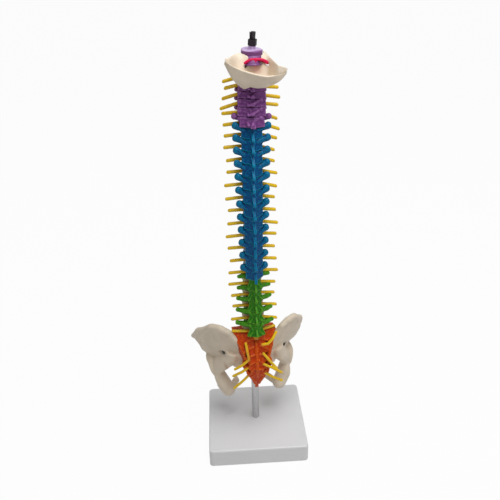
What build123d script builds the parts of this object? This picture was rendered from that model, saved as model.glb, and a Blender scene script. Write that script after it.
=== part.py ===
"""Teaching model of a coloured human spine with pelvis, about half life size, on a square base.

Millimetres. The origin is the middle of the base's underside, +Z is up, +X is the model's own right
side and +Y is its front, so the back of the spine faces -Y.
"""
import os
from dataclasses import dataclass, fields
from math import atan, cos, degrees, radians, sin, sqrt, tan

from build123d import *

os.makedirs("parts", exist_ok=True)

# Fits
bone_gap = 0.4  # between the arches of two neighbouring vertebrae
seat_gap = 0.3  # between curved pieces that rest on one another
bore_clearance = 0.4  # round the flexible core, on the radius
rod_clearance = 0.15  # round the support rod, on the radius

# Base
base_width = 110
base_height = 20.5
base_corner_radius = 4.5
base_edge_radius = 2
base_wall = 2.6
base_boss_diameter = 22
boss_floor = 9  # height of the boss's underside, which the rod's flange bears on
base_rib = 2

# Support rod and its fastening under the base
rod_top = 128
rod_diameter = 8
rod_edge = rod_diameter / 12
rod_thread_end = 0.5  # what stands out under its nut
rod_shoulder_diameter = 5
flange_diameter = 14
flange_thickness = 1.2
base_nut_width = 8
base_nut_height = 4

# Flexible core, its threaded end and nut
core_diameter = 4.4
core_seat_depth = 7  # how far the core reaches down into the sacrum
core_nut_width = 7
core_nut_height = 5.5
core_end = 3.5  # what stands out above the nut

# Spine line: how far it bows forward (+) or back (-), and how it leans and twists
sacrum_top = 143
sacrum_top_forward = 2
lumbar_forward = 7
waist_forward = 2
thoracic_forward = -9
neck_base_forward = -2
neck_forward = 5
head_forward = 2
lean = 7  # sideways lean at the top, nearly all of it in the neck
lean_power = 5
bow_ease = 1.5  # how far the line swings past the middle between two bows
line_foot_back = 1  # how far its two ends lie behind the corners next to them
line_end_back = 2
bend_share = 0.45  # how much of a run each of its two bends may take
pelvis_yaw = 8
head_yaw = 6

# Pelvis
sacrum_width = 47
sacrum_thickness = 17
sacrum_drop = 54  # from its top to the fifth sacral segment
sacrum_bow = 19  # how far the middle of the sacrum stands back
sacrum_thinning = 0.55  # how much of its thickness is lost down to the fifth segment
sacrum_side = ((0.92, 0.5), (0.56, 0.92))  # shares of the half width and of the drop
sacrum_profile_shares = (0, 0.25, 0.5, 0.75, 1)
coccyx_root = (0.2, 0.25)  # shares of the sacrum's half width and of the coccyx's length
coccyx_tip_share = 0.1
coccyx_length = 19
joint_half_width = 20  # from the middle to the joint between sacrum and hip bone
wing_thickness = 4.6
wing_direction = 41  # degrees from the side towards the front
wing_flare = 15
socket_diameter = 25
sacrum_curl = 2.1  # radians of a sine arch that the sacrum's back follows
coccyx_end = 1.6  # half the thickness of its tip
coccyx_hook = 8  # how far the tip of the coccyx comes forward again
crest_radius = 2.4
crest_shares = (0.12, 0.3, 0.52, 0.71)
joint_splay = 20
joint_taper = 12
joint_forward = -8
joint_drop = 20
wing_root_side = 18
wing_root_forward = -12
wing_root_drop = 28
wing_middle = 28  # where along the wing its bend is centred
wing_bend = 70  # radius of the wing's bend
wing_blank_depth = wing_bend / 3  # of the block its curved sheet is cut from, on each side
wing_crest = ((-6, -5), (-3, 8), (10, 25), (30, 37), (50, 31), (63, 9))
wing_foot = ((56, -4), (53, -18), (38, -27), (20, -22), (6, -13))
rim_thickness = 7
socket_middle = (48, 20, -56)
socket_wall = 3
socket_facing = (0.85, 0.25, -0.45)  # outwards, forwards and up
hip_limbs = (  # start, end and the two radii, on the right side
    ((24, -4, -26), (26, -4, -34), 8.5, 7.5),
    ((26, -4, -34), (42, 14, -54), 7.5, 11),
    ((44, 14, -60), (30, 6, -84), 9, 8),
    ((42, 24, -56), (6, 31, -68), 6, 4.5),
    ((6, 31, -66), (5, 31, -76), 5.2, 4.6),
    ((5, 31, -76), (27, 10, -86), 3.6, 4.2),
)
screw_side = 36
screw_forward = 2
screw_drop = 29
screw_head_diameter = 4.6
screw_head_height = 1.6
screw_slot = 0.9
screw_diameter = 2.4
screw_recess = 3.2
screw_length = 22
tail_back = 12.2  # where the tail of the cord enters the sacrum, behind its top
tail_end_share = 0.85
sacral_nerve_shares = (0.18, 0.42, 0.62, 0.8)
sacral_nerve_ends = ((16, 9, 9), (19, 9, -8), (20, 8, -9), (20, 8, -11))  # aside, back and up

# Head end
stem_diameter = 19.5
stem_height = 11.5
stem_foot_width = 9.6
stem_foot_depth = 14
stem_foot_back = 3.4
stem_waist_height = 3.6
stem_waist = 1.2  # how much wider than its foot the stem is there
stem_shoulder_height = 7.6
collar_diameter = 6.6
collar_height = 3.4
plate_half_width = 29
plate_rear = 25
plate_front = 11
plate_depth = 17
plate_shelf = 4.2
plate_front_lift = 3
plate_thickness = 2.4
plate_tip_reach = 2  # what is left of the reach, the depth and the shelf at its tips
plate_tip_depth = 3
plate_tip_shelf = 0.8
plate_tip_wall = 0.4
plate_knee = 0.66  # where the bowl is deepest and where its shelf starts, from the middle to the rear
plate_heel = 0.22
plate_knee_wall = 0.1
plate_heel_wall = 0.3
plate_tilt = 12
plate_tip_back = 9  # how far the tips lie behind the middle
plate_roll = 12
plate_side = 1.5
plate_back = 8
plate_rise = 5
plate_cuts = (-0.985, -0.85, -0.5, 0, 0.5, 0.85, 0.985)
foramen_width = 13.4
foramen_depth = 22.6
foramen_back = 13
artery_diameter = 3
artery_span = 20
artery_arch = 3.4
artery_side = 2.5
artery_rise = 5.6
artery_bends = ((-1, -1), (-0.6, -0.2), (0, 0), (0.6, -0.1), (1, -0.8))  # of half its span, of its arch

# Spinal cord and nerves
cord_diameter = 4.6
nerve_diameter = 2.9
nerve_droop = 0.6  # how far a nerve's end lies above or below its root
nerve_unevenness = 1.6
nerve_wander = 2.3
nerve_sweep = 5.5  # how far its end lies in front of its root


@dataclass
class Bone:
    """Sizes of one vertebra, and of the disc under it."""

    body_width: float
    body_depth: float
    body_height: float
    disc: float
    canal: float  # radius of the canal
    arch_half_width: float
    arch_back: float  # from the middle of the body to the back of the arch
    arch_slope: float  # how steeply the arch's two halves meet at the back
    arch_flare: float  # how much wider the arch is at its lower edge
    seam_drop: float  # how far the arch's lower edge hangs below the disc
    wing_span: float  # from the middle to the end of a transverse process
    wing_back: float
    wing_rise: float
    wing_neck: float  # radius at the neck of a transverse process
    wing_end: float  # radius of its end
    ridge_reach: float  # length of the spinous process behind the arch
    ridge_drop: float
    ridge_height: float
    ridge_thickness: float
    nerve_reach: float  # from the middle to the end of a nerve


top_neck = Bone(
    body_width=11, body_depth=8, body_height=6.2, disc=1.9, canal=3.6, arch_half_width=12.6,
    arch_back=15, arch_slope=0.25, arch_flare=0.5, seam_drop=4, wing_span=15, wing_back=3, wing_rise=-0.7,
    wing_neck=1.8, wing_end=2.2, ridge_reach=2, ridge_drop=1.5, ridge_height=4.5,
    ridge_thickness=4, nerve_reach=25,
)
low_neck = Bone(
    body_width=12.6, body_depth=8.8, body_height=6.4, disc=2.0, canal=3.8, arch_half_width=12.6,
    arch_back=16, arch_slope=0.25, arch_flare=0.6, seam_drop=4, wing_span=15.4, wing_back=4,
    wing_rise=-0.6, wing_neck=2, wing_end=2.3, ridge_reach=3, ridge_drop=2, ridge_height=4.6,
    ridge_thickness=4.4, nerve_reach=26,
)
neck_base = Bone(
    body_width=13.4, body_depth=9.2, body_height=7, disc=2.1, canal=3.8, arch_half_width=11.4,
    arch_back=17, arch_slope=0.3, arch_flare=0.4, seam_drop=4.2, wing_span=19, wing_back=10.5,
    wing_rise=0.5, wing_neck=2.6, wing_end=3, ridge_reach=4.5, ridge_drop=3.6, ridge_height=5.4,
    ridge_thickness=5, nerve_reach=26,
)
top_chest = Bone(
    body_width=14, body_depth=9.5, body_height=8.2, disc=2.1, canal=3.8, arch_half_width=9.5,
    arch_back=16, arch_slope=0.5, arch_flare=0.9, seam_drop=4, wing_span=18.4, wing_back=11, wing_rise=2.6,
    wing_neck=2.3, wing_end=3, ridge_reach=5.5, ridge_drop=5.5, ridge_height=5.5,
    ridge_thickness=3, nerve_reach=23,
)
low_chest = Bone(
    body_width=19, body_depth=14.5, body_height=12.8, disc=2.5, canal=3.8, arch_half_width=8.4,
    arch_back=19.5, arch_slope=0.6, arch_flare=1, seam_drop=5, wing_span=14.4, wing_back=13.5, wing_rise=0.5,
    wing_neck=2.8, wing_end=3.3, ridge_reach=5, ridge_drop=6, ridge_height=8,
    ridge_thickness=2.8, nerve_reach=24,
)
top_waist = Bone(
    body_width=20, body_depth=14.5, body_height=12, disc=2.8, canal=4, arch_half_width=8,
    arch_back=19.5, arch_slope=0.5, arch_flare=1.1, seam_drop=4.5, wing_span=17.4, wing_back=9.5, wing_rise=0.8,
    wing_neck=2, wing_end=2.2, ridge_reach=4.5, ridge_drop=3, ridge_height=8,
    ridge_thickness=2.4, nerve_reach=23.5,
)
low_waist = Bone(
    body_width=24, body_depth=16.5, body_height=12, disc=3.3, canal=4.2, arch_half_width=9.4,
    arch_back=20.5, arch_slope=0.4, arch_flare=0.7, seam_drop=4.5, wing_span=21.2, wing_back=9, wing_rise=1.2,
    wing_neck=2.3, wing_end=2.6, ridge_reach=4, ridge_drop=3.5, ridge_height=6.5,
    ridge_thickness=2.4, nerve_reach=23,
)
body_waist = 0.86  # the middle of a body against its ends
canal_breadth = 1.25  # the canal's width against its depth
arch_root = 0.25  # where an arch starts inside the body, as a share of half its depth
arch_bore_wall = 0.8  # how far an arch stays off the bore
notch_top = 0.1
notch_shift = 0.2
notch_narrowing = 0.6
arch_crest_margin = 0.5  # flat at the back of an arch, on each side of its ridge
knuckle_radius = 2.4
knuckle_limit = 0.25  # of the body's height
knuckle_inset = 0.6  # how much of it lies inside the arch's side
knuckle_back = 0.62  # how far back on the arch, as a share of its depth
wing_root_growth = 1.15  # root of a transverse process against its neck
wing_root_back = 0.6
wing_root_side_share = 0.55
smallest_piece = 2  # what a cut leaves that is smaller than this, in cubic millimetres, is dropped
wing_level = 0.12  # its end above the middle of the body, as a share of the body's height
ridge_end = 0.8
ridge_level = 0.1  # its top, as a share of the body's height
ridge_sink = 0.4  # and how much of the seam's drop is taken off it
ridge_root = 2  # how deep its root lies in the arch
ridge_end_low = 0.35  # its blunt end, as shares of its height
ridge_end_high = 0.6
disc_bulge = 0.4
axis_body_height = 6
dens_diameter = 7.4
atlas_height = 5
atlas_ring_height = 3
atlas_half_width = 16
atlas_ring_half_width = 10.6
atlas_depth = 18.6
atlas_front = 6.2
atlas_wing_radius = 1.4
atlas_wing_root_back = 1
atlas_wing_end_back = 2
condyle_side = 8.4
condyle_width = 4.4
condyle_depth = 8


def canal_depth(bone):
    """How far the middle of the canal lies behind the middle of the body."""
    return bone.body_depth / 2 + bone.canal


def blend(first, last, share):
    """Sizes that lie a share of the way from the first bone of a region to the last."""
    values = {}
    for field in fields(Bone):
        start = getattr(first, field.name)
        values[field.name] = start + (getattr(last, field.name) - start) * share
    return Bone(**values)


def region(letter, first_number, count, first, last):
    """The vertebrae of one region, from the lowest up, each with its name."""
    bones = []
    for place in reversed(range(count)):
        bones.append((f"{letter}{first_number + place}", blend(first, last, place / (count - 1))))
    return bones


column = region("L", 1, 5, top_waist, low_waist)
column += region("T", 1, 12, top_chest, low_chest)
column.append(("C7", neck_base))
column += region("C", 3, 4, top_neck, low_neck)
axis_bone = Bone(**{**top_neck.__dict__, "body_height": axis_body_height})
column.append(("C2", axis_bone))

# Heights along the spine line, from the top of the sacrum
floors = {}
ceilings = {}
reached = 0
for bone_name, bone in column:
    floors[bone_name] = reached + bone.disc
    ceilings[bone_name] = floors[bone_name] + bone.body_height
    reached = ceilings[bone_name]
atlas_floor = ceilings["C2"] + bone_gap
atlas_top = atlas_floor + atlas_height
stem_top = atlas_top + stem_height
collar_top = stem_top + collar_height
nut_top = collar_top + core_nut_height
nut_floor = boss_floor - flange_thickness - base_nut_height
spine_length = nut_top + core_end


def line_point(height, forward):
    """A corner of the spine line, at a height above the sacrum."""
    aside = lean * (max(height, 0) / spine_length) ** lean_power
    return (aside, forward, sacrum_top + height)


line_corners = [
    line_point(-core_seat_depth, sacrum_top_forward - line_foot_back),
    line_point(0, sacrum_top_forward),
    line_point((floors["L3"] + ceilings["L3"]) / 2, lumbar_forward),
    line_point(ceilings["L1"], waist_forward),
    line_point(ceilings["T10"], (waist_forward + thoracic_forward) / 2 - bow_ease),
    line_point(ceilings["T7"], thoracic_forward),
    line_point(ceilings["T4"], (neck_base_forward + thoracic_forward) / 2 - bow_ease),
    line_point(ceilings["T1"], neck_base_forward),
    line_point((floors["C4"] + ceilings["C4"]) / 2, neck_forward),
    line_point(atlas_top, head_forward),
    line_point(spine_length, head_forward - line_end_back),
]


def bend_radii(corners):
    """The radius at each corner of a line, as large as the two runs beside it allow."""
    points = [Vector(*corner) for corner in corners]
    radii = []
    for before, corner, after in zip(points, points[1:], points[2:]):
        first_run = corner - before
        second_run = after - corner
        turn = radians(first_run.get_angle(second_run))
        radii.append(bend_share * min(first_run.length, second_run.length) / tan(turn / 2))
    return radii


with BuildLine() as spine_line:
    FilletPolyline(*line_corners, radius=bend_radii(line_corners))
spine_wire = spine_line.wire()


def level(height):
    """The plane square to the spine line at a height above the sacrum, x to the model's right."""
    distance = height + core_seat_depth
    yaw = radians(pelvis_yaw + (head_yaw - pelvis_yaw) * height / spine_length)
    return Plane(
        origin=spine_wire.position_at(distance, position_mode=PositionMode.LENGTH),
        x_dir=(cos(yaw), sin(yaw), 0),
        z_dir=spine_wire.tangent_at(distance, position_mode=PositionMode.LENGTH),
    )


def largest(part):
    """The main solid of a piece, without the crumbs that its cuts leave."""
    return part.solids().sort_by(SortBy.VOLUME)[-1]


def within(plane, inner):
    """A plane that is given in another plane's own axes."""
    return Plane(plane * inner)


def finish(part, name):
    """Name a finished piece and write it."""
    part.label = name
    export_step(part, f"parts/{name}.step")


def name_of(place):
    """The name of the bone at this place in the column, counted from the lowest."""
    return column[place][0] if place >= 0 else "S1"


def middle_of(place):
    """The plane through the middle of a vertebra."""
    name = column[place][0]
    return level((floors[name] + ceilings[name]) / 2)


def lower_face(place):
    """The plane of the underside of a vertebra's body."""
    return middle_of(place).offset(-column[place][1].body_height / 2)


def upper_face(place):
    """The plane on top of a vertebra's body, or on top of the sacrum."""
    if place < 0:
        return level(0)
    return middle_of(place).offset(column[place][1].body_height / 2)


def tilted_seam(height, bone):
    """A plane that leaves the top of the lower body and falls towards the back of the arches."""
    fall = (bone.seam_drop - bone.disc / 2) / (bone.arch_back - bone.body_depth / 2)
    origin = (0, 0, (fall * bone.body_depth - bone.disc) / 2)
    lean_back = atan(fall)
    inner = Plane(origin=origin, x_dir=(1, 0, 0), z_dir=(0, -sin(lean_back), cos(lean_back)))
    return within(level(height), inner)


def seam_below(place):
    """The plane between a vertebra's arch and the one under it."""
    name, bone = column[place]
    return tilted_seam(floors[name] - bone.disc / 2, bone)


def seam_above(place):
    """The plane between a vertebra's arch and the one over it."""
    if place + 1 < len(column):
        return seam_below(place + 1)
    return tilted_seam(atlas_floor, column[place][1])


def height_on(plane, middle, depth):
    """How high another plane cuts a vertebra's middle line, this far behind the middle of its body."""
    spot = middle.to_local_coords(plane.origin)
    normal = middle.to_local_coords(plane.origin + plane.z_dir) - spot
    return spot.Z + normal.Y * (depth + spot.Y) / normal.Z


def arch_outline(bone, widening):
    """The roof shape of an arch: a front edge inside the body, and slopes that meet at the back."""
    half_width = bone.arch_half_width + widening
    front = -bone.body_depth / 2 * arch_root
    back = -bone.arch_back - widening
    shoulder = back + (half_width - bone.ridge_thickness) * bone.arch_slope
    crest = bone.ridge_thickness / 2 + arch_crest_margin
    with BuildSketch() as outline:
        with BuildLine():
            Polyline(
                (-half_width, front),
                (-half_width, shoulder),
                (-crest, back),
                (crest, back),
                (half_width, shoulder),
                (half_width, front),
                close=True,
            )
        make_face()
    return outline.sketch


def build_arch(place):
    """The arch between its two seams, with the canal and the notches for the nerves."""
    bone = column[place][1]
    middle = middle_of(place)
    height = bone.body_height
    canal_back = canal_depth(bone)
    flare = degrees(atan(bone.arch_flare / height))
    with BuildPart() as arch:
        with BuildSketch(middle.offset(-2 * height)):
            add(arch_outline(bone, 2 * bone.arch_flare))
        extrude(amount=4 * height, taper=flare)
        split(bisect_by=seam_above(place).offset(-bone_gap / 2), keep=Keep.BOTTOM)
        split(bisect_by=seam_below(place).offset(bone_gap / 2), keep=Keep.TOP)
        split(bisect_by=upper_face(place), keep=Keep.BOTTOM)
        with BuildSketch(middle.offset(-2 * height)):
            with Locations((0, -canal_back)):
                Ellipse(bone.canal * canal_breadth, bone.canal)
        extrude(amount=4 * height, mode=Mode.SUBTRACT)
        with BuildSketch(within(middle, Plane.YZ)):
            with Locations((notch_shift - canal_back, -height * (notch_top + 1))):
                SlotOverall(2 * height, 2 * bone.canal - notch_narrowing, rotation=90)
                Rectangle(2 * height, 2 * height, align=(Align.MIN, Align.CENTER))
        extrude(amount=2 * bone.arch_half_width, both=True, mode=Mode.SUBTRACT)
        with Locations(middle):
            Cylinder(core_diameter / 2 + bore_clearance + arch_bore_wall, 4 * height, mode=Mode.SUBTRACT)
    return arch.part


def build_ridge(place):
    """The spinous process: a sloping blade that is deepest at the arch."""
    bone = column[place][1]
    top = bone.body_height * ridge_level - bone.seam_drop * ridge_sink
    root = -bone.arch_back + ridge_root
    tip = -bone.arch_back - bone.ridge_reach
    low = top - bone.ridge_drop - bone.ridge_height
    with BuildPart() as ridge:
        with BuildSketch(within(middle_of(place), Plane.YZ)):
            with BuildLine():
                Polyline(
                    (root, top),
                    (root, top - bone.ridge_height),
                    (tip, low),
                    (tip - ridge_end, low + bone.ridge_height * ridge_end_low),
                    (tip, low + bone.ridge_height * ridge_end_high),
                    close=True,
                )
            make_face()
        extrude(amount=bone.ridge_thickness / 2, both=True)
    return ridge.part


def add_limb(plane, start, end, start_radius, end_radius):
    """A tapered limb with a round end, between two points given in a plane's own axes."""
    reach = Vector(*end) - Vector(*start)
    stand = (Align.CENTER, Align.CENTER, Align.MIN)
    with Locations(within(plane, Plane(origin=start, x_dir=(0, 1, 0), z_dir=reach))):
        if start_radius == end_radius:
            Cylinder(start_radius, reach.length, align=stand)
        else:
            Cone(start_radius, end_radius, reach.length, align=stand)
    with Locations(within(plane, Plane(origin=end, x_dir=(0, 1, 0), z_dir=reach))):
        Sphere(end_radius)


def add_tube(plane, start, end, radius):
    """A plain round bar with flat ends, between two points given in a plane's own axes."""
    reach = Vector(*end) - Vector(*start)
    with Locations(within(plane, Plane(origin=start, x_dir=(0, 1, 0), z_dir=reach))):
        Cylinder(radius, reach.length, align=(Align.CENTER, Align.CENTER, Align.MIN))


def build_wings(place):
    """The two transverse processes with their swollen ends, and the round articular processes."""
    bone = column[place][1]
    middle = middle_of(place)
    ceiling = height_on(seam_above(place), middle, bone.arch_back * wing_root_back) - bone_gap
    root = bone.wing_neck * wing_root_growth
    knuckle = min(knuckle_radius, bone.body_height * knuckle_limit)
    widest = 2 * (bone.arch_half_width + bone.arch_flare + bone_gap)
    with BuildPart() as wings:
        for side in (-1, 1):
            start = (side * bone.arch_half_width * wing_root_side_share, -canal_depth(bone), ceiling - root)
            end_height = bone.body_height * wing_level + bone.wing_rise
            end = (side * (bone.wing_span - bone.wing_end), -bone.wing_back, end_height)
            add_limb(middle, start, end, root, bone.wing_neck)
            with Locations(within(middle, Plane(origin=end, z_dir=Vector(*end) - Vector(*start)))):
                Sphere(bone.wing_end)
            aside = bone.arch_half_width - knuckle * knuckle_inset
            joint = (side * aside, -bone.arch_back * knuckle_back, ceiling - knuckle)
            with Locations(within(middle, Plane(origin=joint, z_dir=(side, 0, 0)))):
                Sphere(knuckle)
        with BuildSketch(seam_above(place).offset(-bone_gap / 2)):
            Rectangle(widest, 4 * bone.arch_back)
        extrude(amount=bone.body_height, mode=Mode.SUBTRACT)
    return wings.solids().filter_by(lambda piece: piece.volume > smallest_piece)


def build_vertebra(place):
    """A whole vertebra with its bore for the core."""
    name, bone = column[place]
    middle = middle_of(place)
    arch = build_arch(place)
    ridge = build_ridge(place)
    wings = build_wings(place)
    with BuildPart() as vertebra:
        for face, share in ((lower_face(place), 1), (middle, body_waist), (upper_face(place), 1)):
            with BuildSketch(face):
                Ellipse(bone.body_width / 2 * share, bone.body_depth / 2 * share)
        loft(ruled=True)
        if name == "C2":
            with BuildSketch(upper_face(place)):
                Circle(dens_diameter / 2)
            extrude(amount=bone_gap + atlas_height)
        with Locations(middle):
            Cylinder(core_diameter / 2 + bore_clearance, 4 * bone.body_height, mode=Mode.SUBTRACT)
        add(arch)
        add(ridge)
        add(wings)
    return largest(vertebra.part)


def build_disc(place):
    """The disc under a vertebra, between the two faces it lies against, a little fuller in the middle."""
    name, bone = column[place]
    under = column[place - 1][1] if place else bone
    middle = level(floors[name] - bone.disc / 2)
    half_width = (bone.body_width + under.body_width) / 4
    half_depth = (bone.body_depth + under.body_depth) / 4
    with BuildPart() as disc:
        with BuildSketch(upper_face(place - 1)):
            Ellipse(under.body_width / 2, under.body_depth / 2)
        with BuildSketch(middle):
            Ellipse(half_width + disc_bulge, half_depth + disc_bulge)
        with BuildSketch(lower_face(place)):
            Ellipse(bone.body_width / 2, bone.body_depth / 2)
        loft()
        with Locations(middle):
            Cylinder(core_diameter / 2 + bore_clearance, 4 * bone.disc, mode=Mode.SUBTRACT)
    return disc.part


def build_atlas():
    """The first neck vertebra: a ring round the peg of the second, with two lateral masses."""
    floor = level(atlas_floor)
    canal_back = canal_depth(axis_bone)
    with BuildPart() as atlas:
        with BuildSketch(floor):
            with Locations((0, -atlas_depth / 2 + atlas_front)):
                Ellipse(atlas_ring_half_width, atlas_depth / 2)
        extrude(amount=atlas_ring_height)
        with BuildSketch(floor):
            with Locations((-condyle_side, 0), (condyle_side, 0)):
                Ellipse(condyle_width / 2, condyle_depth / 2)
        extrude(amount=atlas_height)
        for side in (-1, 1):
            start = (side * condyle_side, -atlas_wing_root_back, atlas_ring_height / 2)
            reach = atlas_half_width - atlas_wing_radius
            end = (side * reach, -atlas_wing_end_back, atlas_ring_height / 2)
            add_limb(floor, start, end, atlas_wing_radius, atlas_wing_radius)
        with BuildSketch(floor.offset(-atlas_height)):
            Circle(dens_diameter / 2 + bone_gap)
            with Locations((0, -canal_back)):
                Ellipse(axis_bone.canal * canal_breadth, axis_bone.canal)
        extrude(amount=3 * atlas_height, mode=Mode.SUBTRACT)
    return largest(atlas.part)


def build_stem():
    """The brain stem: a flat-topped drum that narrows towards the spinal cord, with a collar."""
    floor = level(atlas_top)
    foot_depth = stem_foot_depth / 2
    with BuildPart() as stem:
        with BuildSketch(floor):
            with Locations((0, -stem_foot_back)):
                Ellipse(stem_foot_width / 2, foot_depth)
        with BuildSketch(floor.offset(stem_waist_height)):
            with Locations((0, -stem_foot_back / 2)):
                Ellipse(stem_foot_width / 2 + stem_waist, foot_depth + stem_waist)
        with BuildSketch(floor.offset(stem_shoulder_height)):
            Circle(stem_diameter / 2)
        loft()
        with BuildSketch(floor.offset(stem_shoulder_height)):
            Circle(stem_diameter / 2)
        extrude(amount=stem_height - stem_shoulder_height)
        with BuildSketch(floor.offset(stem_height)):
            Circle(collar_diameter / 2)
        extrude(amount=collar_height)
        with Locations(floor):
            Cylinder(core_diameter / 2 + bore_clearance, 4 * stem_height, mode=Mode.SUBTRACT)
    return stem.part


def plate_plane():
    """The plane of the occipital plate's rim, tilted back and rolled to the right."""
    tilt = radians(plate_tilt)
    roll = radians(plate_roll)
    rim = Plane(
        origin=(plate_side, -plate_back, plate_rise),
        x_dir=(cos(roll), 0, -sin(roll)),
        z_dir=(sin(roll), -sin(tilt), cos(tilt)),
    )
    return within(level(atlas_top), rim)


def plate_profile(share):
    """A fore-and-aft cut through the plate, a share of the way from its middle to its right tip."""
    fullness = sqrt(1 - share**2)
    rear = plate_tip_reach + (plate_rear - plate_tip_reach) * fullness
    front = plate_tip_reach + (plate_front - plate_tip_reach) * fullness
    depth = plate_tip_depth + (plate_depth - plate_tip_depth) * fullness**2
    shelf = plate_tip_shelf + (plate_shelf - plate_tip_shelf) * fullness
    lift = plate_front_lift * fullness
    wall = plate_thickness * (plate_tip_wall + (1 - plate_tip_wall) * fullness)
    knee = -rear * plate_knee
    heel = -rear * plate_heel
    with BuildSketch() as profile:
        with BuildLine():
            Spline((-rear, 0), (knee, -depth), (heel, -shelf), (front, lift))
            Line((front, lift), (front, lift + wall))
            Spline(
                (front, lift + wall),
                (heel + wall * plate_heel_wall, wall - shelf),
                (knee + wall * plate_knee_wall, wall - depth),
                (wall - rear, 0),
            )
            Line((wall - rear, 0), (-rear, 0))
        make_face()
    return profile.sketch


def build_plate():
    """The occipital plate: a shallow bowl that reaches down behind the neck, open at the foramen."""
    rim = plate_plane()
    floor = level(atlas_top)
    groove = build_artery(seat_gap)
    with BuildPart() as plate:
        for share in plate_cuts:
            origin = (share * plate_half_width, -plate_tip_back * share**2, 0)
            cut = Plane(origin=origin, x_dir=(0, 1, 0), z_dir=(1, 0, 0))
            with BuildSketch(within(rim, cut)):
                add(plate_profile(share))
        loft()
        for side in (-1, 1):
            with BuildSketch(floor):
                with Locations((side * condyle_side, 0)):
                    Ellipse(condyle_width / 2, condyle_depth / 2)
            with BuildSketch(rim.offset(plate_thickness / 2 - plate_shelf)):
                with Locations((side * condyle_side - plate_side, plate_back)):
                    Ellipse(condyle_width / 2, condyle_depth / 2)
            loft()
        with BuildSketch(floor.offset(-stem_height)):
            with Locations((0, foramen_depth / 2 - foramen_back)):
                Ellipse(foramen_width / 2, foramen_depth / 2)
        extrude(amount=3 * stem_height, mode=Mode.SUBTRACT)
        with BuildSketch(floor.offset(stem_waist_height)):
            with Locations((0, -stem_foot_back / 2)):
                Ellipse(stem_foot_width / 2 + stem_waist + 2 * seat_gap,
                        stem_foot_depth / 2 + stem_waist + 2 * seat_gap)
        with BuildSketch(floor.offset(stem_shoulder_height)):
            Circle(stem_diameter / 2 + 2 * seat_gap)
        loft(mode=Mode.SUBTRACT)
        with BuildSketch(floor.offset(stem_shoulder_height)):
            Circle(stem_diameter / 2 + 2 * seat_gap)
        extrude(amount=2 * stem_height, mode=Mode.SUBTRACT)
        add(groove, mode=Mode.SUBTRACT)
    return largest(plate.part)


def build_artery(growth):
    """The arched artery that lies behind the brain stem, thicker by the growth all round."""
    back = stem_diameter / 2 + artery_diameter / 2 + 2 * seat_gap
    radius = artery_diameter / 2 + growth
    crown = Plane(origin=(artery_side, -back, artery_rise), x_dir=(1, 0, 0), z_dir=(0, -1, 0))
    place = within(level(atlas_top), crown)
    corners = [(artery_span / 2 * aside, artery_arch * up) for aside, up in artery_bends]
    with BuildPart() as artery:
        with BuildLine(place) as route:
            FilletPolyline(*corners, radius=bend_radii(corners))
        wire = route.wire()
        with BuildSketch(Plane(origin=wire @ 0, z_dir=wire % 0)):
            Circle(radius)
        sweep(path=wire)
        for share in (0, 1):
            with Locations(Plane(origin=wire @ share, z_dir=wire % share)):
                Sphere(radius)
    return artery.part


def pelvis():
    """The upright plane at the top of the sacrum that the sacrum and the hip bones are set out from."""
    yaw = radians(pelvis_yaw)
    return Plane(origin=(0, sacrum_top_forward, sacrum_top), x_dir=(cos(yaw), sin(yaw), 0))


def sacral_point(share):
    """The middle of the sacrum, this share of the way from its top to its fifth segment."""
    return (0, -sacrum_bow * sin(share * sacrum_curl), -sacrum_drop * share)


def sacral_half_thickness(share):
    """Half the thickness of the sacrum at this share of its length."""
    return sacrum_thickness / 2 * (1 - sacrum_thinning * share)


def joint_plane(side):
    """The flat joint between the sacrum and one hip bone, with its normal outwards."""
    splay = radians(joint_splay)
    taper = radians(joint_taper)
    normal = (side * cos(splay) * cos(taper), -sin(splay) * cos(taper), -sin(taper))
    origin = (side * joint_half_width, joint_forward, -joint_drop)
    return within(pelvis(), Plane(origin=origin, x_dir=(sin(splay), side * cos(splay), 0), z_dir=normal))


def tail_points():
    """The two ends of the cord's tail inside the sacrum, in the pelvis's own axes."""
    return (0, -tail_back, 0), sacral_point(tail_end_share)


def add_sacral_nerves(growth):
    """The nerves that leave the tail of the cord through the back of the sacrum."""
    top, low = tail_points()
    for side in (-1, 1):
        for share, end in zip(sacral_nerve_shares, sacral_nerve_ends):
            start = Vector(*top) + (Vector(*low) - Vector(*top)) * (share / tail_end_share)
            tip = start + Vector(side * end[0], -end[1], end[2])
            add_tube(pelvis(), (start.X, start.Y, start.Z), (tip.X, tip.Y, tip.Z),
                     nerve_diameter / 2 + growth)


def sacral_outline():
    """The sacrum and coccyx seen from behind."""
    half = sacrum_width / 2
    tail = sacrum_drop + coccyx_length
    side = [(half, -sacrum_thickness)]
    side += [(half * width, -sacrum_drop * drop) for width, drop in sacrum_side]
    end = half * coccyx_tip_share
    hook = [(half * coccyx_root[0], -sacrum_drop - coccyx_length * coccyx_root[1]), (end, -tail)]
    with BuildSketch() as outline:
        with BuildLine():
            Line((-half, half), (half, half))
            Line((half, half), side[0])
            Spline(*side, *hook)
            Line((end, -tail), (-end, -tail))
            Spline(*[(-x, y) for x, y in reversed(side + hook)])
            Line((-half, -sacrum_thickness), (-half, half))
        make_face()
    return outline.sketch


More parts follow.
